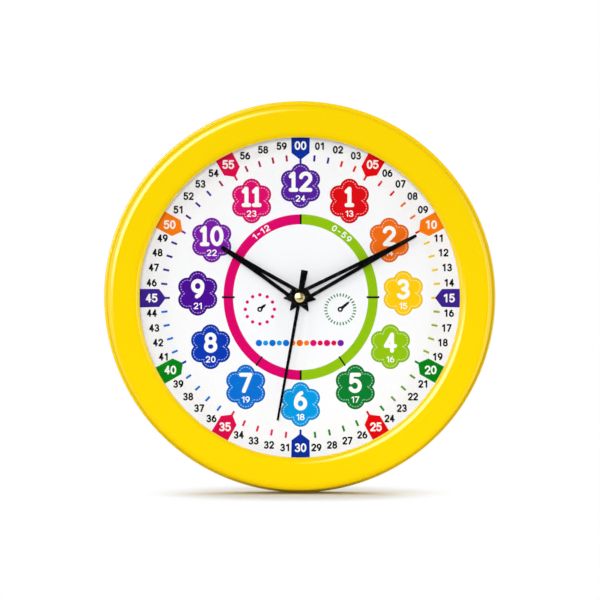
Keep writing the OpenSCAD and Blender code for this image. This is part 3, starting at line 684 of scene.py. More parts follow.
def fused(shells):
    """One closed shell from shells that cross each other, by an exact union."""
    made = []
    for points, faces in shells:
        mesh = bpy.data.meshes.new("stroke")
        mesh.from_pydata(points.tolist(), [], faces)
        made.append(bpy.data.objects.new("stroke", mesh))
        bpy.context.scene.collection.objects.link(made[-1])
    for other in made[1:]:
        union = made[0].modifiers.new("union", "BOOLEAN")
        union.operation, union.solver, union.object = "UNION", "EXACT", other
    whole = made[0].evaluated_get(bpy.context.evaluated_depsgraph_get()).to_mesh()
    points = np.zeros(3 * len(whole.vertices))
    whole.vertices.foreach_get("co", points)
    faces = [list(polygon.vertices) for polygon in whole.polygons]
    for item in made:
        bpy.data.meshes.remove(item.data)
    return points.reshape(-1, 3), faces


def character(mark, height, width, pen):
    """A character of a pen's line: its box is height x width outside, with its foot at v = 0."""
    key = (mark, height, width, pen)
    if key not in DRAWN:
        stretch = np.array([(width - 2 * pen) * NARROW.get(mark, 1), height - 2 * pen])
        DRAWN[key] = fused([stroke(path * stretch + pen, pen, closed) for path, closed in CHARACTERS[mark]])
    return DRAWN[key]


def room_of(mark, width, pen):
    """The width of a character's own ink."""
    return (width - 2 * pen) * NARROW.get(mark, 1) + 2 * pen


def line_of_type(marks, height, width, pen, gap, even=False):
    """A line of characters about its own middle, as one shell.
    They follow each other closely or stand at an even pitch, where a narrow one is indented in its cell."""
    rooms = np.array([room_of(mark, width, pen) for mark in marks])
    starts = np.concatenate([[0], np.cumsum((np.full(len(marks), width) if even else rooms) + gap)[:-1]])
    starts = starts + (INDENT * (width - rooms) if even else 0)
    starts = starts - (starts[0] + starts[-1] + rooms[-1]) / 2
    shells = []
    for mark, start in zip(marks, starts):
        points, faces = character(mark, height, width, pen)
        shells.append((points + [start, -height / 2, 0], faces))
    return join_shells(shells)


print("type can be set from", len(CHARACTERS), "characters, of which", len(NARROW), "are narrow")

# %% [markdown]
# ## Laying print on the card
# Every printed sheet is a list of parts: a shell, where it goes, how far it is turned, its height above the
# card and its ink. The list becomes one mesh, and each face keeps its ink in a colour attribute that the
# print finish reads.

# %% Lay parts on the dial
INKS = {
    "white": (252, 252, 250), "black": (18, 17, 20), "violet": (84, 30, 155), "red": (222, 8, 18),
    "orange": (240, 108, 14), "amber": (254, 205, 10), "lime": (145, 195, 12), "green": (6, 122, 46),
    "sky": (0, 154, 229), "blue": (5, 112, 212), "royal": (6, 56, 178), "indigo": (74, 10, 148),
    "purple": (122, 26, 168), "magenta": (221, 6, 108), "navy": (6, 46, 158), "scarlet": (228, 4, 14),
    "tangerine": (252, 126, 8), "plum": (60, 32, 142), "leaf": (0, 130, 20), "crimson": (222, 6, 76),
    "olive": (105, 150, 35), "straw": (242, 206, 10), "moss": (152, 178, 40), "wine": (165, 12, 72),
    "pink": (222, 0, 106),
}
FOOT = -0.02


def placed(shell, at, ink, top, turn=0.0):
    """A part: the shell turned clockwise by degrees, moved to (x, z), and raised from FOOT to top."""
    points, faces = shell
    t = np.radians(turn)
    u, v = points[:, 0], points[:, 1]
    x = at[0] + u * np.cos(t) + v * np.sin(t)
    z = at[1] - u * np.sin(t) + v * np.cos(t)
    height = FOOT + points[:, 2] * (top - FOOT)
    return np.column_stack([x, DIAL_Y - height, z]), faces, ink


def print_sheet(name, parts):
    """One piece from all the parts of a printed sheet, with their inks in a colour attribute."""
    points, faces = join_shells([(points, faces) for points, faces, _ in parts])
    mesh = bpy.data.meshes.new(name)
    mesh.from_pydata((points * MM).tolist(), [], faces)
    corners = np.repeat([linear(*INKS[ink]) for _, _, ink in parts],
                        [sum(map(len, part_faces)) for _, part_faces, _ in parts], axis=0)
    ink = mesh.color_attributes.new("ink", "FLOAT_COLOR", "CORNER")
    ink.data.foreach_set("color", corners.astype(np.float32).ravel())
    add_piece(name, mesh, DIAL_INK, "case")


PRINT_MIDDLE, PRINT_STRETCH = (0.6, 0.4), (0.989, 1.004)


def on_dial(radius, turn):
    """The place at a radius and an angle clockwise from twelve; the print is a touch taller than wide."""
    t = np.radians(turn)
    return PRINT_MIDDLE + radius * np.array([np.sin(t), np.cos(t)]) * PRINT_STRETCH


print(len(INKS), "inks")

# %% [markdown]
# ## Flower badges
# Twelve badges carry the hours. Each outline is the outside of six round petals: seen from the middle, its
# radius is r(t) = max over petals of c.d + sqrt(p^2 - (c x d)^2), where d is the direction at angle t, c a
# petal's centre and p its radius. A smaller p gives the inner edges, so the rim, the face and the row of
# stitches all follow the same formula.

# %% Print the badges
BADGE_INKS = ["violet", "red", "orange", "amber", "lime", "green",
              "sky", "blue", "royal", "indigo", "purple", "magenta"]
HOURS = len(BADGE_INKS)
# The middles of the badges from twelve down to six, as seen from the middle of the print
BADGE_SPOTS = [
    (0.0, 86.2), (38.0, 74.4), (69.0, 44.0), (79.9, 2.7), (69.9, -38.9), (42.6, -70.2), (0.0, -83.8)]
PETAL_R, END_PETAL_R = 7.1, 7.3
END_RISE, SIDE_REACH, SIDE_RISE = 10.1, 8.1, 5.05
PETALS = [(0.0, END_RISE * y, END_PETAL_R) for y in (1, -1)]
PETALS += [(SIDE_REACH * x, SIDE_RISE * y, PETAL_R) for x in (-1, 1) for y in (-1, 1)]
RIM_INSET, STITCH_INSET = 0.8, 1.9
STITCHES, STITCH_SHARE, STITCH_WIDTH = 51, 0.55, 0.5
BADGE_STEPS, WALK_STEPS = 144, 721
BRIGHTNESS, RIM_DARK, RIM_PALE, THREAD_TINT = (0.3, 0.59, 0.11), 0.74, 0.22, 0.3
RIM_TOP, FACE_TOP, STITCH_TOP, NUMERAL_TOP = 0.04, 0.06, 0.08, 0.1


def badge_outline(inset, turns):
    """Points of the petal outline, moved in by an inset, at the given angles in radians."""
    ways = np.column_stack([np.cos(turns), np.sin(turns)])
    reach = []
    for x, y, radius in PETALS:
        along = ways @ [x, y]
        across = ways @ [-y, x]
        room = (radius - inset) ** 2 - across ** 2
        reach.append(np.where(room > 0, along + np.sqrt(np.maximum(room, 0)), 0))
    return ways * np.max(reach, axis=0)[:, None]


def even_turns(inset, count):
    """Angles at which the outline is cut into equal lengths."""
    turns = np.linspace(0, 2 * np.pi, WALK_STEPS)
    steps = np.linalg.norm(np.diff(badge_outline(inset, turns), axis=0), axis=1)
    walked = np.concatenate([[0], np.cumsum(steps)])
    return np.interp(np.linspace(0, walked[-1], count, endpoint=False), walked, turns)


def badge_place(hour):
    """The middle of an hour's badge; those on the left mirror those on the right."""
    hour = hour % HOURS
    x, z = BADGE_SPOTS[min(hour, HOURS - hour)]
    return np.array([x if hour < HOURS / 2 else -x, z]) + PRINT_MIDDLE


def rim_ink(colour):
    """A darker colour for a badge's rim; pale inks darken less: RIM_DARK + RIM_PALE * brightness."""
    brightness = np.dot(colour, BRIGHTNESS) / 255
    return tuple((RIM_DARK + RIM_PALE * brightness) * np.array(colour))


def thread_ink(colour):
    """The colour of a badge's stitches: white with a tint of the badge."""
    return tuple(THREAD_TINT * np.array(colour) + (1 - THREAD_TINT) * 255)


INKS |= {f"{ink}_rim": rim_ink(INKS[ink]) for ink in BADGE_INKS}
INKS |= {f"{ink}_thread": thread_ink(INKS[ink]) for ink in BADGE_INKS}
rim = patch(badge_outline(0, even_turns(0, BADGE_STEPS)))
face = patch(badge_outline(RIM_INSET, even_turns(RIM_INSET, BADGE_STEPS)))
badges = []
for hour, ink in enumerate(BADGE_INKS):
    badges.append(placed(rim, badge_place(hour), f"{ink}_rim", RIM_TOP))
    badges.append(placed(face, badge_place(hour), ink, FACE_TOP))
print_sheet("print_badges", badges)

# %% Sew the stitches
knots = badge_outline(STITCH_INSET, even_turns(STITCH_INSET, STITCHES))
ends = knots + STITCH_SHARE * (np.roll(knots, -1, 0) - knots)
thread = join_shells([straight(start, stop, STITCH_WIDTH) for start, stop in zip(knots, ends)])
print_sheet("print_stitches", [placed(thread, badge_place(hour), f"{ink}_thread", STITCH_TOP)
                               for hour, ink in enumerate(BADGE_INKS)])

# %% [markdown]
# ## Hour numerals
# A large white numeral sits a little above the middle of each badge, with the matching hour of the
# afternoon in small type below it.

# %% Print the hours
HOUR_SIZE = dict(height=15.8, width=10.4, pen=1.55, gap=0.5)
AFTERNOON_SIZE = dict(height=5.0, width=3.5, pen=0.42, gap=0.6)
HOUR_RISE, AFTERNOON_DROP = 3.2, 9.8
hours, afternoons = [], []
for hour in range(1, HOURS + 1):
    x, z = badge_place(hour)
    marks = ["footed 1" if mark == "1" else mark for mark in str(hour)]
    hours.append(placed(line_of_type(marks, **HOUR_SIZE), (x, z + HOUR_RISE), "white", NUMERAL_TOP))
    afternoon = line_of_type(str(hour + HOURS), **AFTERNOON_SIZE)
    afternoons.append(placed(afternoon, (x, z - AFTERNOON_DROP), "white", NUMERAL_TOP))
print_sheet("print_hour_numerals", hours)
print_sheet("print_afternoon_numerals", afternoons)

# %% [markdown]
# ## Minutes
# Ticks run round the dial in bands of colour, with a black number outside each. Every fifth minute has a
# tag instead: a little house with its flat end at the frame, and its point and a short tick inwards. The
# real print isn't quite even, so the tags from twelve down to six have turns of their own, and the left
# side mirrors them. Whatever lies between two tags shares the space evenly. Two groups leave one number
# out beside the top tag, so their other numbers stand further apart.

# %% Print ticks and numbers
TAG_TURNS = [0.0, 29.0, 61.5, 90.5, 119.0, 149.5, 180.0]
TAG_TURNS += [360 - turn for turn in TAG_TURNS[-2::-1]]
GROUPS, GROUP_MINUTES = len(TAG_TURNS) - 1, 5
LEFT_OUT = (4, 57)
TICK_R, TICK_LENGTH, TICK_WIDTH = 107.6, 4.8, 1.65
# The minute before which a band of ticks ends, and its ink
TICK_BANDS = [(3, "plum"), (8, "red"), (11, "orange"), (16, "straw"), (20, "moss"), (24, "olive"),
              (30, "leaf"), (36, "crimson"), (45, "blue"), (50, "plum"), (54, "violet"), (60, "wine")]
NUMBER_R = 117.5
NUMBER_SIZE = dict(height=6.1, width=3.9, pen=0.64, gap=0.2, even=True)
TICK_TOP = 0.05


def tick_ink(minute):
    """The ink of the band that a minute lies in."""
    return next(ink for end, ink in TICK_BANDS if minute < end)


def between_tags(group, count):
    """Turns of things that share the space between a tag at a and the next at b:
    a + (b - a) (i + 1) / (count + 1)."""
    return np.linspace(TAG_TURNS[group], TAG_TURNS[group + 1], count + 2)[1:-1]


tick = straight((0, -TICK_LENGTH / 2), (0, TICK_LENGTH / 2), TICK_WIDTH)
ticks, numbers = [], []
for group in range(GROUPS):
    minutes = GROUP_MINUTES * group + np.arange(1, GROUP_MINUTES)
    for minute, turn in zip(minutes, between_tags(group, len(minutes))):
        ticks.append(placed(tick, on_dial(TICK_R, turn), tick_ink(minute), TICK_TOP, turn))
    shown = [minute for minute in minutes if minute not in LEFT_OUT]
    for minute, turn in zip(shown, between_tags(group, len(shown))):
        number = line_of_type(f"{minute:02d}", **NUMBER_SIZE)
        numbers.append(placed(number, on_dial(NUMBER_R, turn), "black", TICK_TOP))
print_sheet("print_ticks", ticks)
print_sheet("print_minute_numerals", numbers)

# %% Print the tags
TAG_INKS = ["navy", "scarlet", "tangerine", "plum", "leaf", "scarlet",
            "navy", "crimson", "leaf", "plum", "tangerine", "crimson"]
TIP_INKS = ["navy", "red", "red", "straw", "leaf", "red",
            "navy", "crimson", "royal", "plum", "purple", "crimson"]
TAG_R, TAG_FOOT, TAG_HALF = 117.0, 7.3, 7.0
TAG_OUT, TAG_SHOULDER, TAG_POINT, TAG_TICK = 11.0, -5.8, -11.1, -14.1
TAG_SIZE = dict(height=6.9, width=4.5, pen=0.65, gap=0.2, even=True)
wall = line((TAG_FOOT, TAG_OUT), (TAG_HALF, TAG_SHOULDER), (0, TAG_POINT))
house = bar(wall, wall * [-1, 1])
tip = straight((0, TAG_POINT + TICK_WIDTH), (0, TAG_TICK), TICK_WIDTH)
tags, tag_numerals = [], []
for group, turn in enumerate(TAG_TURNS[:GROUPS]):
    at = on_dial(TAG_R, turn)
    tags.append(placed(house, at, TAG_INKS[group], TICK_TOP, turn))
    tags.append(placed(tip, at, TIP_INKS[group], RIM_TOP, turn))
    numeral = line_of_type(f"{GROUP_MINUTES * group:02d}", **TAG_SIZE)
    tag_numerals.append(placed(numeral, at, "white", NUMERAL_TOP))
print_sheet("print_tags", tags)
print_sheet("print_tag_numerals", tag_numerals)

# %% [markdown]
# ## The centre ring
# A band round the middle of the dial is split at twelve and six: one half belongs to the hour hand and the
# other to the minute hand. Each half is a bar between two ellipses, with the range of numbers that its hand
# tells.

# %% Print the ring and its marks
RING_IN, RING_OUT = (52.5, 56.7), (60.0, 64.5)
RING_MIDDLE = (0.7, 0.0)
RING_GAP = 0.5
# The turns of two marks, how far they run past the band's edges, and their width
RING_MARKS = [((0, 180), 0.0, 1.6), ((90, 270), 1.2, 1.6), ((145, 215), 0.5, 1.25)]
RING_HALF_STEPS = 72


def on_ellipse(radii, turns):
    """Points of an ellipse about the band's middle, at angles clockwise from twelve."""
    t = np.radians(turns)
    return RING_MIDDLE + np.column_stack([radii[0] * np.sin(t), radii[1] * np.cos(t)])


def ring_half(start, stop):
    """Half of the band, from start to stop degrees clockwise from twelve."""
    turns = np.linspace(start, stop, RING_HALF_STEPS)
    return bar(on_ellipse(RING_OUT, turns), on_ellipse(RING_IN, turns))


def ring_mark(turn, past, width):
    """A bar across the band at an angle, running some millimetres past both of its edges."""
    low = on_ellipse(np.array(RING_IN) - past, np.array([turn]))[0]
    high = on_ellipse(np.array(RING_OUT) + past, np.array([turn]))[0]
    return straight(low, high, width)


print_sheet("print_centre_ring", [
    placed(ring_half(RING_GAP, 180 - RING_GAP), (0, 0), "lime", RIM_TOP),
    placed(ring_half(180 + RING_GAP, 360 - RING_GAP), (0, 0), "pink", RIM_TOP),
])
ring_marks = [ring_mark(turn, past, width) for turns, past, width in RING_MARKS for turn in turns]
print_sheet("print_ring_marks", [placed(mark, (0, 0), "black", TICK_TOP) for mark in ring_marks])

# %% Print the ranges
# A range and the turn of its middle
RANGES = [("1-12", -33.2), ("0-59", 34.8)]
RANGE_SIZE = dict(height=4.8, width=3.7, pen=0.44, gap=0)
RANGE_GAP = 1.3


def curved_range(text, middle_turn):
    """Parts of a range of numbers whose characters stand on the middle of the band, one after the other."""
    band = (np.array(RING_IN) + np.array(RING_OUT)) / 2
    steps = np.array([room_of(mark, RANGE_SIZE["width"], RANGE_SIZE["pen"]) + RANGE_GAP for mark in text])
    centres = np.cumsum(steps) - steps / 2 - steps.sum() / 2
    parts = []
    for mark, along in zip(text, centres):
        turn = middle_turn + np.degrees(along / band.mean())
        shell = line_of_type(mark, **RANGE_SIZE)
        parts.append(placed(shell, on_ellipse(band, np.array([turn]))[0], "white", NUMERAL_TOP, turn))
    return parts


print_sheet("print_ring_ranges", [part for text, turn in RANGES for part in curved_range(text, turn)])

# %% [markdown]
# ## Helps for the reader
# Inside the ring, the dial shows which hand tells what. One small dial has a short hand among twelve dots,
# and the other has a long hand that reaches a ring of ticks. A row of beads runs below them.

# %% Print the little dials and the beads
# The ink of a little dial, its x and the length of its hand
LITTLE_DIALS = [("pink", -31.0, 6.2), ("green", 31.5, 9.6)]
LITTLE_Z, LITTLE_R, LITTLE_TURN = -9.4, 11.3, 50
LITTLE_HUB_R, LITTLE_EYE_R = 2.1, 0.8
LITTLE_HALF, LITTLE_NECK, LITTLE_SHOULDER = 1.3, 0.9, 0.8
DOTS, DOT_R, DOT_STEPS = 12, 1.35, 20
FINE_TICKS, FINE_TICK, FINE_WIDTH = 30, 2.4, 0.95
BEAD_Z, BEAD_STEP, BEAD_R = -35.6, 5.3, (2.5, 2.0)
BEAD_INKS = ["blue", "sky", "blue", "sky", "blue", "tangerine", "orange", "tangerine",
             "magenta", "crimson", "magenta", "crimson", "purple"]


def disc(radius, steps=32):
    """A round slab."""
    return patch(loop((0, 0), (radius, radius), steps))


def little_hand(length):
    """A tapering hand that points up from its hub, with a shoulder at a share of its length."""
    edge = line((LITTLE_HALF, 0), (LITTLE_NECK, length * LITTLE_SHOULDER), (0, length))
    return bar(edge * [-1, 1], edge)


dials = []
for _, x, length in LITTLE_DIALS:
    at = (x, LITTLE_Z)
    dials.append(placed(little_hand(length), at, "black", TICK_TOP, LITTLE_TURN))
    dials.append(placed(disc(LITTLE_HUB_R), at, "black", FACE_TOP))
    dials.append(placed(disc(LITTLE_EYE_R), at, "white", STITCH_TOP))
dot_points, dot_faces = disc(DOT_R, DOT_STEPS)
dot = (dot_points + [0, LITTLE_R, 0], dot_faces)
fine = straight((0, LITTLE_R - FINE_TICK / 2), (0, LITTLE_R + FINE_TICK / 2), FINE_WIDTH)
for (ink, x, _), shape, count in zip(LITTLE_DIALS, (dot, fine), (DOTS, FINE_TICKS)):
    dials += [placed(shape, (x, LITTLE_Z), ink, RIM_TOP, 360 * i / count) for i in range(count)]
print_sheet("print_little_dials", dials)
bead_xs = BEAD_STEP * (np.arange(len(BEAD_INKS)) - (len(BEAD_INKS) - 1) / 2)
print_sheet("print_beads", [placed(disc(BEAD_R[i % 2]), (x, BEAD_Z), ink, TICK_TOP)
                            for i, (x, ink) in enumerate(zip(bead_xs, BEAD_INKS))])

# %% [markdown]
# ## Soft edges for solids
# Stamped sheet, moulded shells and turned parts never have knife edges. A copy of each solid is welded,
# its flat faces are made whole again, and a bevel rounds the edges that are sharp, so that they catch
# the light. The copy then stands for the solid.

# %% Soften the hands, the shells and the fittings
BEVEL_ANGLE, BEVEL_SEGMENTS = np.radians(38), 2
FLAT_ANGLE = np.radians(0.6)
SOLID_WELD = 1e-6
# A node, the width of its bevel, its finish and its slot
SOFT_EDGES = [
    ("hour_hand", 0.12, HAND_BLACK, "hand_black"),
    ("minute_hand", 0.12, HAND_BLACK, "hand_black"),
    ("second_hand", 0.12, HAND_BLACK, "hand_black"),
    ("back_plate", 0.35, BACK_IVORY, "back_plastic"),
    ("case_screws", 0.15, SCREW_ZINC, "screw_steel"),
    ("movement_case", 0.3, MOVEMENT_BLACK, "movement_plastic"),
    ("movement_cover", 0.25, COVER_BLACK, "cover_plastic"),
    ("setting_knob", 0.12, KNOB_PALE, "knob_plastic"),
    ("positive_contact", 0.06, NICKEL, "contact_nickel"),
    ("negative_contact", 0.06, NICKEL, "contact_nickel"),
    ("mounting_nut", 0.15, BRASS, "brass_fittings"),
]


def soften(node, width, material):
    """A bevelled copy of a node, which rides where the node rode and takes its place."""
    source = frame["nodes"][node]
    skin = bmesh.new()
    skin.from_mesh(source.data)
    bmesh.ops.remove_doubles(skin, verts=skin.verts, dist=SOLID_WELD)
    bmesh.ops.dissolve_limit(skin, angle_limit=FLAT_ANGLE, verts=skin.verts, edges=skin.edges)
    mesh = bpy.data.meshes.new(f"soft_{node}")
    skin.to_mesh(mesh)
    skin.free()
    round_shading(mesh)
    piece = add_piece(f"soft_{node}", mesh, material, source["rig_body"])
    edges = piece.modifiers.new("soft_edges", "BEVEL")
    edges.width, edges.segments = width * MM, BEVEL_SEGMENTS
    edges.limit_method, edges.angle_limit = "ANGLE", BEVEL_ANGLE
    edges.harden_normals = True
    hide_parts(node)


for node, width, material, slot in SOFT_EDGES:
    soften(node, width, material)

# %% [markdown]
# ## The brass cap
# A polished cap closes the hub. Its section is a low dome that turns into a short straight rim, and it
# rides on the second hand.

# %% Turn the cap
CAP_STEPS, DOME_STEPS, CAP_RIM = 72, 28, 0.35


def cap_section():
    """From the axis at the foot, out to the rim, and over a dome to the axis, of radius
    (w^2 + h^2) / (2 h)."""
    foot, top = height_of(back_of("second_hand_cap")), height_of(front_of("second_hand_cap"))
    width, rise = radius_of("second_hand_cap"), top - foot - CAP_RIM
    radius = (width ** 2 + rise ** 2) / (2 * rise)
    dome = arc((0, top - radius), (radius, radius), np.degrees(np.arccos(width / radius)), 90, DOME_STEPS)
    return np.vstack([[[0, foot], [width, foot]], dome])


cap = turned_shell(cap_section(), CAP_STEPS, closed=False)
domed_cap = add_round_piece("domed_cap", cap, CAP_BRASS, "second_arm")
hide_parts("second_hand_cap")

# %% [markdown]
# ## The cell in its bay
# From behind, an AA cell lies open in the movement. The can is a turned section about the cell's own axis,
# and a thin jacket goes round it with its edges rolled in at both ends. The jacket is plain: a dark sleeve
# with a paler band at the positive end, mixed along the cell.

# %% Turn the cell
CELL_STEPS, END_STEPS, NUB_STEPS = 96, 8, 6
NUB_R, NUB_H, NUB_ROUND, NUB_FOOT = 2.7, 1.2, 0.4, 0.4
CAN_ROUND = 0.8
JACKET_T, JACKET_LAP, JACKET_SINK, JACKET_FOLD = 0.12, 1.1, 0.01, 1.0
CELL_LOW, CELL_HIGH = (np.array(corner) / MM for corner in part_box("battery_cell"))
CELL_MIDDLE = (CELL_LOW + CELL_HIGH) / 2
CELL_R = (CELL_HIGH[2] - CELL_LOW[2]) / 2
CAN_R = CELL_R - JACKET_T
LEFT_END, NUB_END = CELL_LOW[0], CELL_HIGH[0]
RIGHT_END = NUB_END - NUB_H


def along_cell(section, closed):
    """A section (r, x) carried round the cell's axis, which is parallel to X."""
    t = np.linspace(0, 2 * np.pi, CELL_STEPS, endpoint=False)[:, None]
    r, x = section[:, 0], section[:, 1]
    points = np.stack([np.broadcast_to(x, (CELL_STEPS, len(x))), CELL_MIDDLE[1] + r * np.cos(t),
                       CELL_MIDDLE[2] + r * np.sin(t)], axis=-1)
    return points.reshape(-1, 3), grid_faces(CELL_STEPS, len(section), True, closed)


def rounded_ends(radius):
    """The corners of a can's section: a quarter circle at its left end and one at its right end."""
    corner, inner = (CAN_ROUND, CAN_ROUND), radius - CAN_ROUND
    return np.vstack([arc((inner, LEFT_END + CAN_ROUND), corner, 270, 360, END_STEPS),
                      arc((inner, RIGHT_END - CAN_ROUND), corner, 0, 90, END_STEPS)])


def can_section():
    """From the axis at the left end, round both corners and over the nub back to the axis."""
    nub = arc((NUB_R - NUB_ROUND, NUB_END - NUB_ROUND), (NUB_ROUND, NUB_ROUND), 0, 90, NUB_STEPS)
    foot = [[NUB_R + NUB_FOOT, RIGHT_END]]
    return np.vstack([[[0, LEFT_END]], rounded_ends(CAN_R), foot, nub, [[0, NUB_END]]])


def sleeve_section():
    """Round the can from lap to lap, and back inside it."""
    lap = CAN_R - JACKET_LAP
    return np.vstack([
        [[lap, LEFT_END + JACKET_SINK]], rounded_ends(CELL_R), [[lap, RIGHT_END - JACKET_SINK]],
        [[lap, RIGHT_END - JACKET_FOLD], [lap, LEFT_END + JACKET_FOLD]],
    ])


add_round_piece("cell_can", along_cell(can_section(), closed=False), NICKEL, "case")

# %% Wrap the cell in its jacket
BAND_START, BAND_EDGE = 12.0, 0.25
JACKET_DARK, JACKET_PALE, JACKET_ROUGH = linear(28, 70, 120), linear(196, 200, 204), (0.22, 0.34)
JACKET_TONE, JACKET_GRAIN, JACKET_DEPTH = 90.0, 900.0, 0.004


def jacket_finish():
    """A sleeve whose colour steps to a paler band at BAND_START along X."""
    material, tree, shader = new_material("cell_jacket")
    place = add_node(tree, "ShaderNodeTexCoord").outputs["Object"]
    along = add_node(tree, "ShaderNodeSeparateXYZ", place).outputs["X"]
    step = map_range(tree, along, (BAND_START - BAND_EDGE) * MM, (BAND_START + BAND_EDGE) * MM)
    height, wave = add_grain(tree, JACKET_TONE, JACKET_GRAIN)
    feed_named(tree, shader, {"Base Color": mix_of(tree, "Color", step, JACKET_DARK, JACKET_PALE),
                              "Roughness": wander(tree, wave, *JACKET_ROUGH)})
    add_bump(tree, shader, height, JACKET_DEPTH)
    return material


sleeve = along_cell(sleeve_section(), closed=True)
cell_sleeve = add_round_piece("cell_sleeve", sleeve, jacket_finish(), "case")
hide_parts("battery_cell")

# %% [markdown]
# ## Moulded marks
# The cover shows which way round the cell goes and how to turn the knob. The marks are low bars, raised a
# quarter of a millimetre on the back of the cover, so they are seen from behind: u runs towards -X there.

# %% Raise the marks on the cover
MARK_RISE, MARK_FOOT, MARK_PEN = 0.25, -0.05, 0.45
POLE_X, POLE_Z, POLE_ARM = 22.0, -9.6, 1.6
ARROW_R, ARROW_START, ARROW_STOP, ARROW_STEPS = 6.9, 30, 150, 24
ARROW_BARBS = [(-1.7, 0.425), (0.595, 1.7)]
KNOB_X, _, KNOB_Z = middle_of("setting_knob")


def raised(shell, at):
    """A shell on the cover's rear face, at (x, z); u is mirrored, because the reader stands behind."""
    points, faces = shell
    height = MARK_FOOT + points[:, 2] * (MARK_RISE - MARK_FOOT)
    y = back_of("movement_cover") + height
    return np.column_stack([at[0] - points[:, 0], y, at[1] + points[:, 1]]), faces


level = stroke(line((-POLE_ARM, 0), (POLE_ARM, 0)), MARK_PEN)
upright = stroke(line((0, -POLE_ARM), (0, POLE_ARM)), MARK_PEN)
bow = arc((0, 0), (ARROW_R, ARROW_R), ARROW_START, ARROW_STOP, ARROW_STEPS)
arrow = [stroke(bow, MARK_PEN)] + [stroke(line(bow[0], bow[0] + barb), MARK_PEN) for barb in ARROW_BARBS]
cover_marks = [
    raised(fused([level, upright]), (POLE_X, POLE_Z)),
    raised(level, (-POLE_X, POLE_Z)),
    raised(fused(arrow), (KNOB_X, KNOB_Z)),
]
marks_mesh = mesh_of("cover_marks", join_shells(cover_marks))
add_piece("cover_marks", marks_mesh, COVER_BLACK, "case")

# %% [markdown]
# ## What the shells hide
# Wheels, coil and circuit keep their exact solids and take a finish each, so that an opened clock looks right
# too.

# %% Dress the movement
RUBBER = plain_finish("gasket_rubber", linear(34, 34, 34), (0.7, 0.8), 1200, 0.03, 0.1, 90.0)
TRAIN_NATURAL = plain_finish("train_natural", linear(229, 227, 220), (0.45, 0.55), 1500, 0.01, 0.02, 90.0)
ACETAL = plain_finish("gear_acetal", linear(244, 243, 239), (0.35, 0.45), 2000, 0.006, 0.02, 150.0)
MAGNET = plain_finish("rotor_magnet", linear(78, 78, 82), (0.5, 0.65), 3000, 0.02, 0.1, 300.0)
STATOR_STEEL = plain_finish(
    "stator_steel", linear(205, 205, 205), (0.3, 0.45), 2500, 0.006, 0.06, 200.0, metal=1.0)
COPPER = plain_finish("coil_copper", linear(214, 150, 108), (0.3, 0.42), 4000, 0.05, 0.08, 300.0, metal=1.0)
LAMINATE = plain_finish("board_laminate", linear(46, 124, 78), (0.3, 0.4), 2500, 0.006, 0.05, 200.0)
EPOXY = plain_finish("chip_epoxy", linear(22, 22, 22), (0.12, 0.2), 1500, 0.006, 0.1, 200.0)
PLATED = plain_finish("crystal_can", linear(222, 222, 224), (0.15, 0.25), 3000, 0.004, 0.05, 300.0, metal=1.0)
dress(RUBBER, "mounting_gasket")
dress(TRAIN_NATURAL, "train_plate", "coil_bobbin")
dress(ACETAL, "hour_wheel", "motion_wheel", "second_wheel", "third_wheel", "intermediate_wheel")
dress(MAGNET, "rotor")
dress(STATOR_STEEL, "stator")
dress(COPPER, "coil_winding")
dress(LAMINATE, "circuit_board")
dress(EPOXY, "chip")
dress(PLATED, "crystal")
print(len(bpy.data.materials), "materials in all")

# %% [markdown]
# ## The studio
# The clock stands on a pale floor in front of white. The camera sees the world as plain white. Mirrors and
# glass see a room: white walls at both sides and behind, a bright softbox at the upper left, and hardly any
# light from the viewer's side, so that black paint stays black. All other rays get soft grey light. It is
# stronger from the sides, from above and from below than from the front and the back.

# %% Build the world
AMBIENT, AROUND, AROUND_START, AROUND_END = 0.42, 0.95, 0.2, 0.5
MIRROR_FRONT, MIRROR_SIDE = 0.01, 1.2
SIDE_START, SIDE_END, REAR_SHARE = 0.72, 0.98, 0.83
BOX_WAY, BOX_START, BOX_END, MIRROR_BOX = (-0.5, -0.75, 0.43), 0.84, 0.98, 9.5
WHITE = 1.0


def seen_directly(tree):
    """1 for rays from the camera, mirrors or glass and 0 for others, and 1 for the camera's alone."""
    path = add_node(tree, "ShaderNodeLightPath").outputs
    shine = maths(tree, "MAXIMUM", path["Is Glossy Ray"], path["Is Transmission Ray"])
    return maths(tree, "MAXIMUM", path["Is Camera Ray"], shine), path["Is Camera Ray"]


def mirrored_room(tree, way, x, y):
    """The room for mirrors: walls where max(|x|, REAR_SHARE * y) is high, and the softbox along BOX_WAY."""
    round_us = maths(tree, "MAXIMUM", maths(tree, "ABSOLUTE", x), maths(tree, "MULTIPLY", y, REAR_SHARE))
    walls = map_range(tree, round_us, SIDE_START, SIDE_END, MIRROR_FRONT, MIRROR_SIDE, "SMOOTHSTEP")
    box = add_node(tree, "ShaderNodeVectorMath", way, BOX_WAY, settings={"operation": "DOT_PRODUCT"})
    glare = map_range(tree, box.outputs["Value"], BOX_START, BOX_END, 0.0, MIRROR_BOX, "SMOOTHSTEP")
    return maths(tree, "ADD", walls, glare)


def build_world():
    """White for the camera, the room for mirrors and glass, and soft grey light for all other rays."""
    world = bpy.data.worlds.new("studio")
    world.use_nodes = True
    tree = world.node_tree
    direct, camera = seen_directly(tree)
    way = add_node(tree, "ShaderNodeTexCoord").outputs["Generated"]
    parts = add_node(tree, "ShaderNodeSeparateXYZ", way).outputs
    seen = mix_of(tree, "Float", camera, mirrored_room(tree, way, parts["X"], parts["Y"]), WHITE)
    facing = maths(tree, "ABSOLUTE", parts["Y"])
    soft = map_range(tree, facing, AROUND_START, AROUND_END, AROUND, AMBIENT, "SMOOTHSTEP")
    feed_named(tree, tree.nodes["Background"], {
        "Color": (1, 1, 1, 1), "Strength": mix_of(tree, "Float", direct, soft, seen)})
    world.cycles.sampling_method = "NONE"
    bpy.context.scene.world = world
    return world


print("world:", build_world().name)
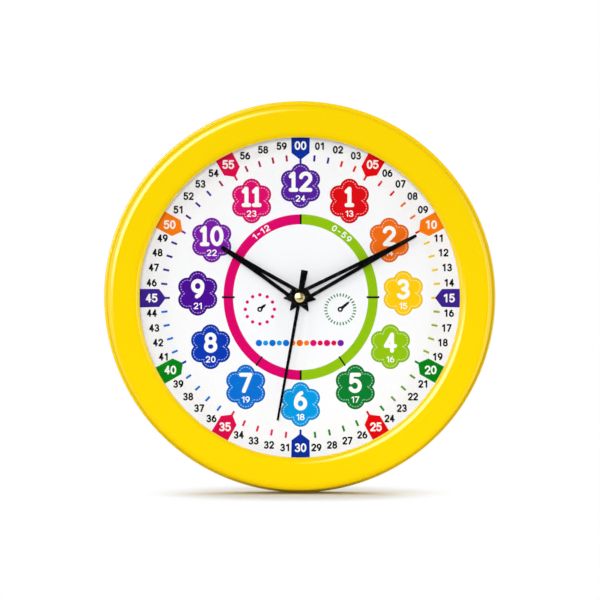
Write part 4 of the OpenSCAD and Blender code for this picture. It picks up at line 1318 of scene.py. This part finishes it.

# %% [markdown]
# ## The floor
# The floor is a small pale plane that keeps the clock's shadow. Direct rays see its paint darker than bounced
# light does, and for them the paint fades into white with the distance from the clock's middle, so the grey
# round the clock's foot is partly its real shadow and partly painted shadow. The fade also hides the floor's
# edge against the white. It starts close to the point where the clock stands.

# %% Build the floor
# The darker paint that direct rays see is painted shade round the clock's foot, on top of its real shadow.
FLOOR_HALF, FLOOR_BOUNCE, FLOOR_SEEN_SHADED = 0.26, 0.9, 0.75
FADE_START, FADE_END = 0.155, 0.198


def floor_finish():
    """Pale paint that direct rays see darker, as painted shadow near the clock, fading for them into white.
    """
    material, tree, shader = new_material("floor")
    direct, _ = seen_directly(tree)
    paint = add_node(tree, "ShaderNodeBsdfDiffuse", mix_of(tree, "Float", direct, FLOOR_BOUNCE, FLOOR_SEEN_SHADED))
    place = add_node(tree, "ShaderNodeTexCoord").outputs["Object"]
    reach = add_node(tree, "ShaderNodeVectorMath", place, settings={"operation": "LENGTH"}).outputs["Value"]
    fade = map_range(tree, reach, FADE_START, FADE_END, way="SMOOTHSTEP")
    far = add_node(tree, "ShaderNodeEmission", Strength=WHITE)
    both = add_node(tree, "ShaderNodeMixShader", mix_of(tree, "Float", fade, 0.0, direct),
                    paint.outputs["BSDF"], far.outputs["Emission"])
    feed(tree, tree.nodes["Material Output"].inputs["Surface"], both.outputs["Shader"])
    tree.nodes.remove(shader)
    return material


corners = FLOOR_HALF * np.array([[-1, -1], [1, -1], [1, 1], [-1, 1]])
floor_mesh = bpy.data.meshes.new("floor")
floor_mesh.from_pydata([(x, y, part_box("frame_ring")[0].z) for x, y in corners], [], [(0, 1, 2, 3)])
floor_mesh.materials.append(floor_finish())
floor = bpy.data.objects.new("floor", floor_mesh)
floor.visible_glossy = False
bpy.context.scene.collection.objects.link(floor)
print(f"floor {2 * FLOOR_HALF:.2f} m wide")

# %% [markdown]
# ## Lamps
# The key lamp stands at the upper left. Two narrow strips light the rim from the sides, a fill behind the
# camera brightens the dial, and a lamp behind the clock shows the back when the reader walks round. Mirrors
# see only the strips: the other lamps would look like small bright patches on the gloss.

# %% Light the clock
# A lamp's name, place and size in metres, its power in watts, and whether mirrors see it
LAMPS = [
    ("key", (-0.75, -1.75, 1.15), (0.32, 0.4), 5.6, False),
    ("right_strip", (1.3, -0.9, 0.1), (0.25, 0.9), 2.2, True),
    ("left_strip", (-1.3, -0.9, 0.1), (0.25, 0.9), 2.2, True),
    ("fill", (-0.2, -4.2, 0.6), (0.6, 0.6), 72.0, False),
    ("rear", (0.8, 1.8, 1.2), (0.8, 0.8), 26.0, False),
]


def add_lamp(name, place, size, power, in_mirrors):
    """A rectangular lamp of size (width, height) in metres at a place, turned towards the clock."""
    light = bpy.data.lights.new(name, "AREA")
    light.shape, light.size, light.size_y, light.energy = "RECTANGLE", *size, power
    lamp = bpy.data.objects.new(name, light)
    lamp.location = place
    lamp.rotation_euler = (-Vector(place)).to_track_quat("-Z", "Y").to_euler()
    lamp.visible_glossy = in_mirrors
    bpy.context.scene.collection.objects.link(lamp)
    print(f"{name}: {power} W")


for lamp in LAMPS:
    add_lamp(*lamp)

# %% [markdown]
# ## Camera
# The camera stands four metres back with a long lens, a little above the clock, as the photograph shows it.

# %% Look at the clock
CAMERA_DISTANCE, CAMERA_RISE, CAMERA_LENS = 4.0, np.radians(1.2), 308.5
AIM = Vector((0.0002, 0.0, -0.0022))
camera = bpy.data.objects.new("camera", bpy.data.cameras.new("camera"))
camera.data.lens = CAMERA_LENS
back = Vector((0, -np.cos(CAMERA_RISE), np.sin(CAMERA_RISE)))
camera.location = AIM + CAMERA_DISTANCE * back
camera.rotation_euler = (-back).to_track_quat("-Z", "Y").to_euler()
bpy.context.scene.collection.objects.link(camera)
bpy.context.scene.camera = camera
bpy.context.scene.view_settings.view_transform = "Standard"
print(f"camera {CAMERA_DISTANCE} m away, lens {CAMERA_LENS} mm")
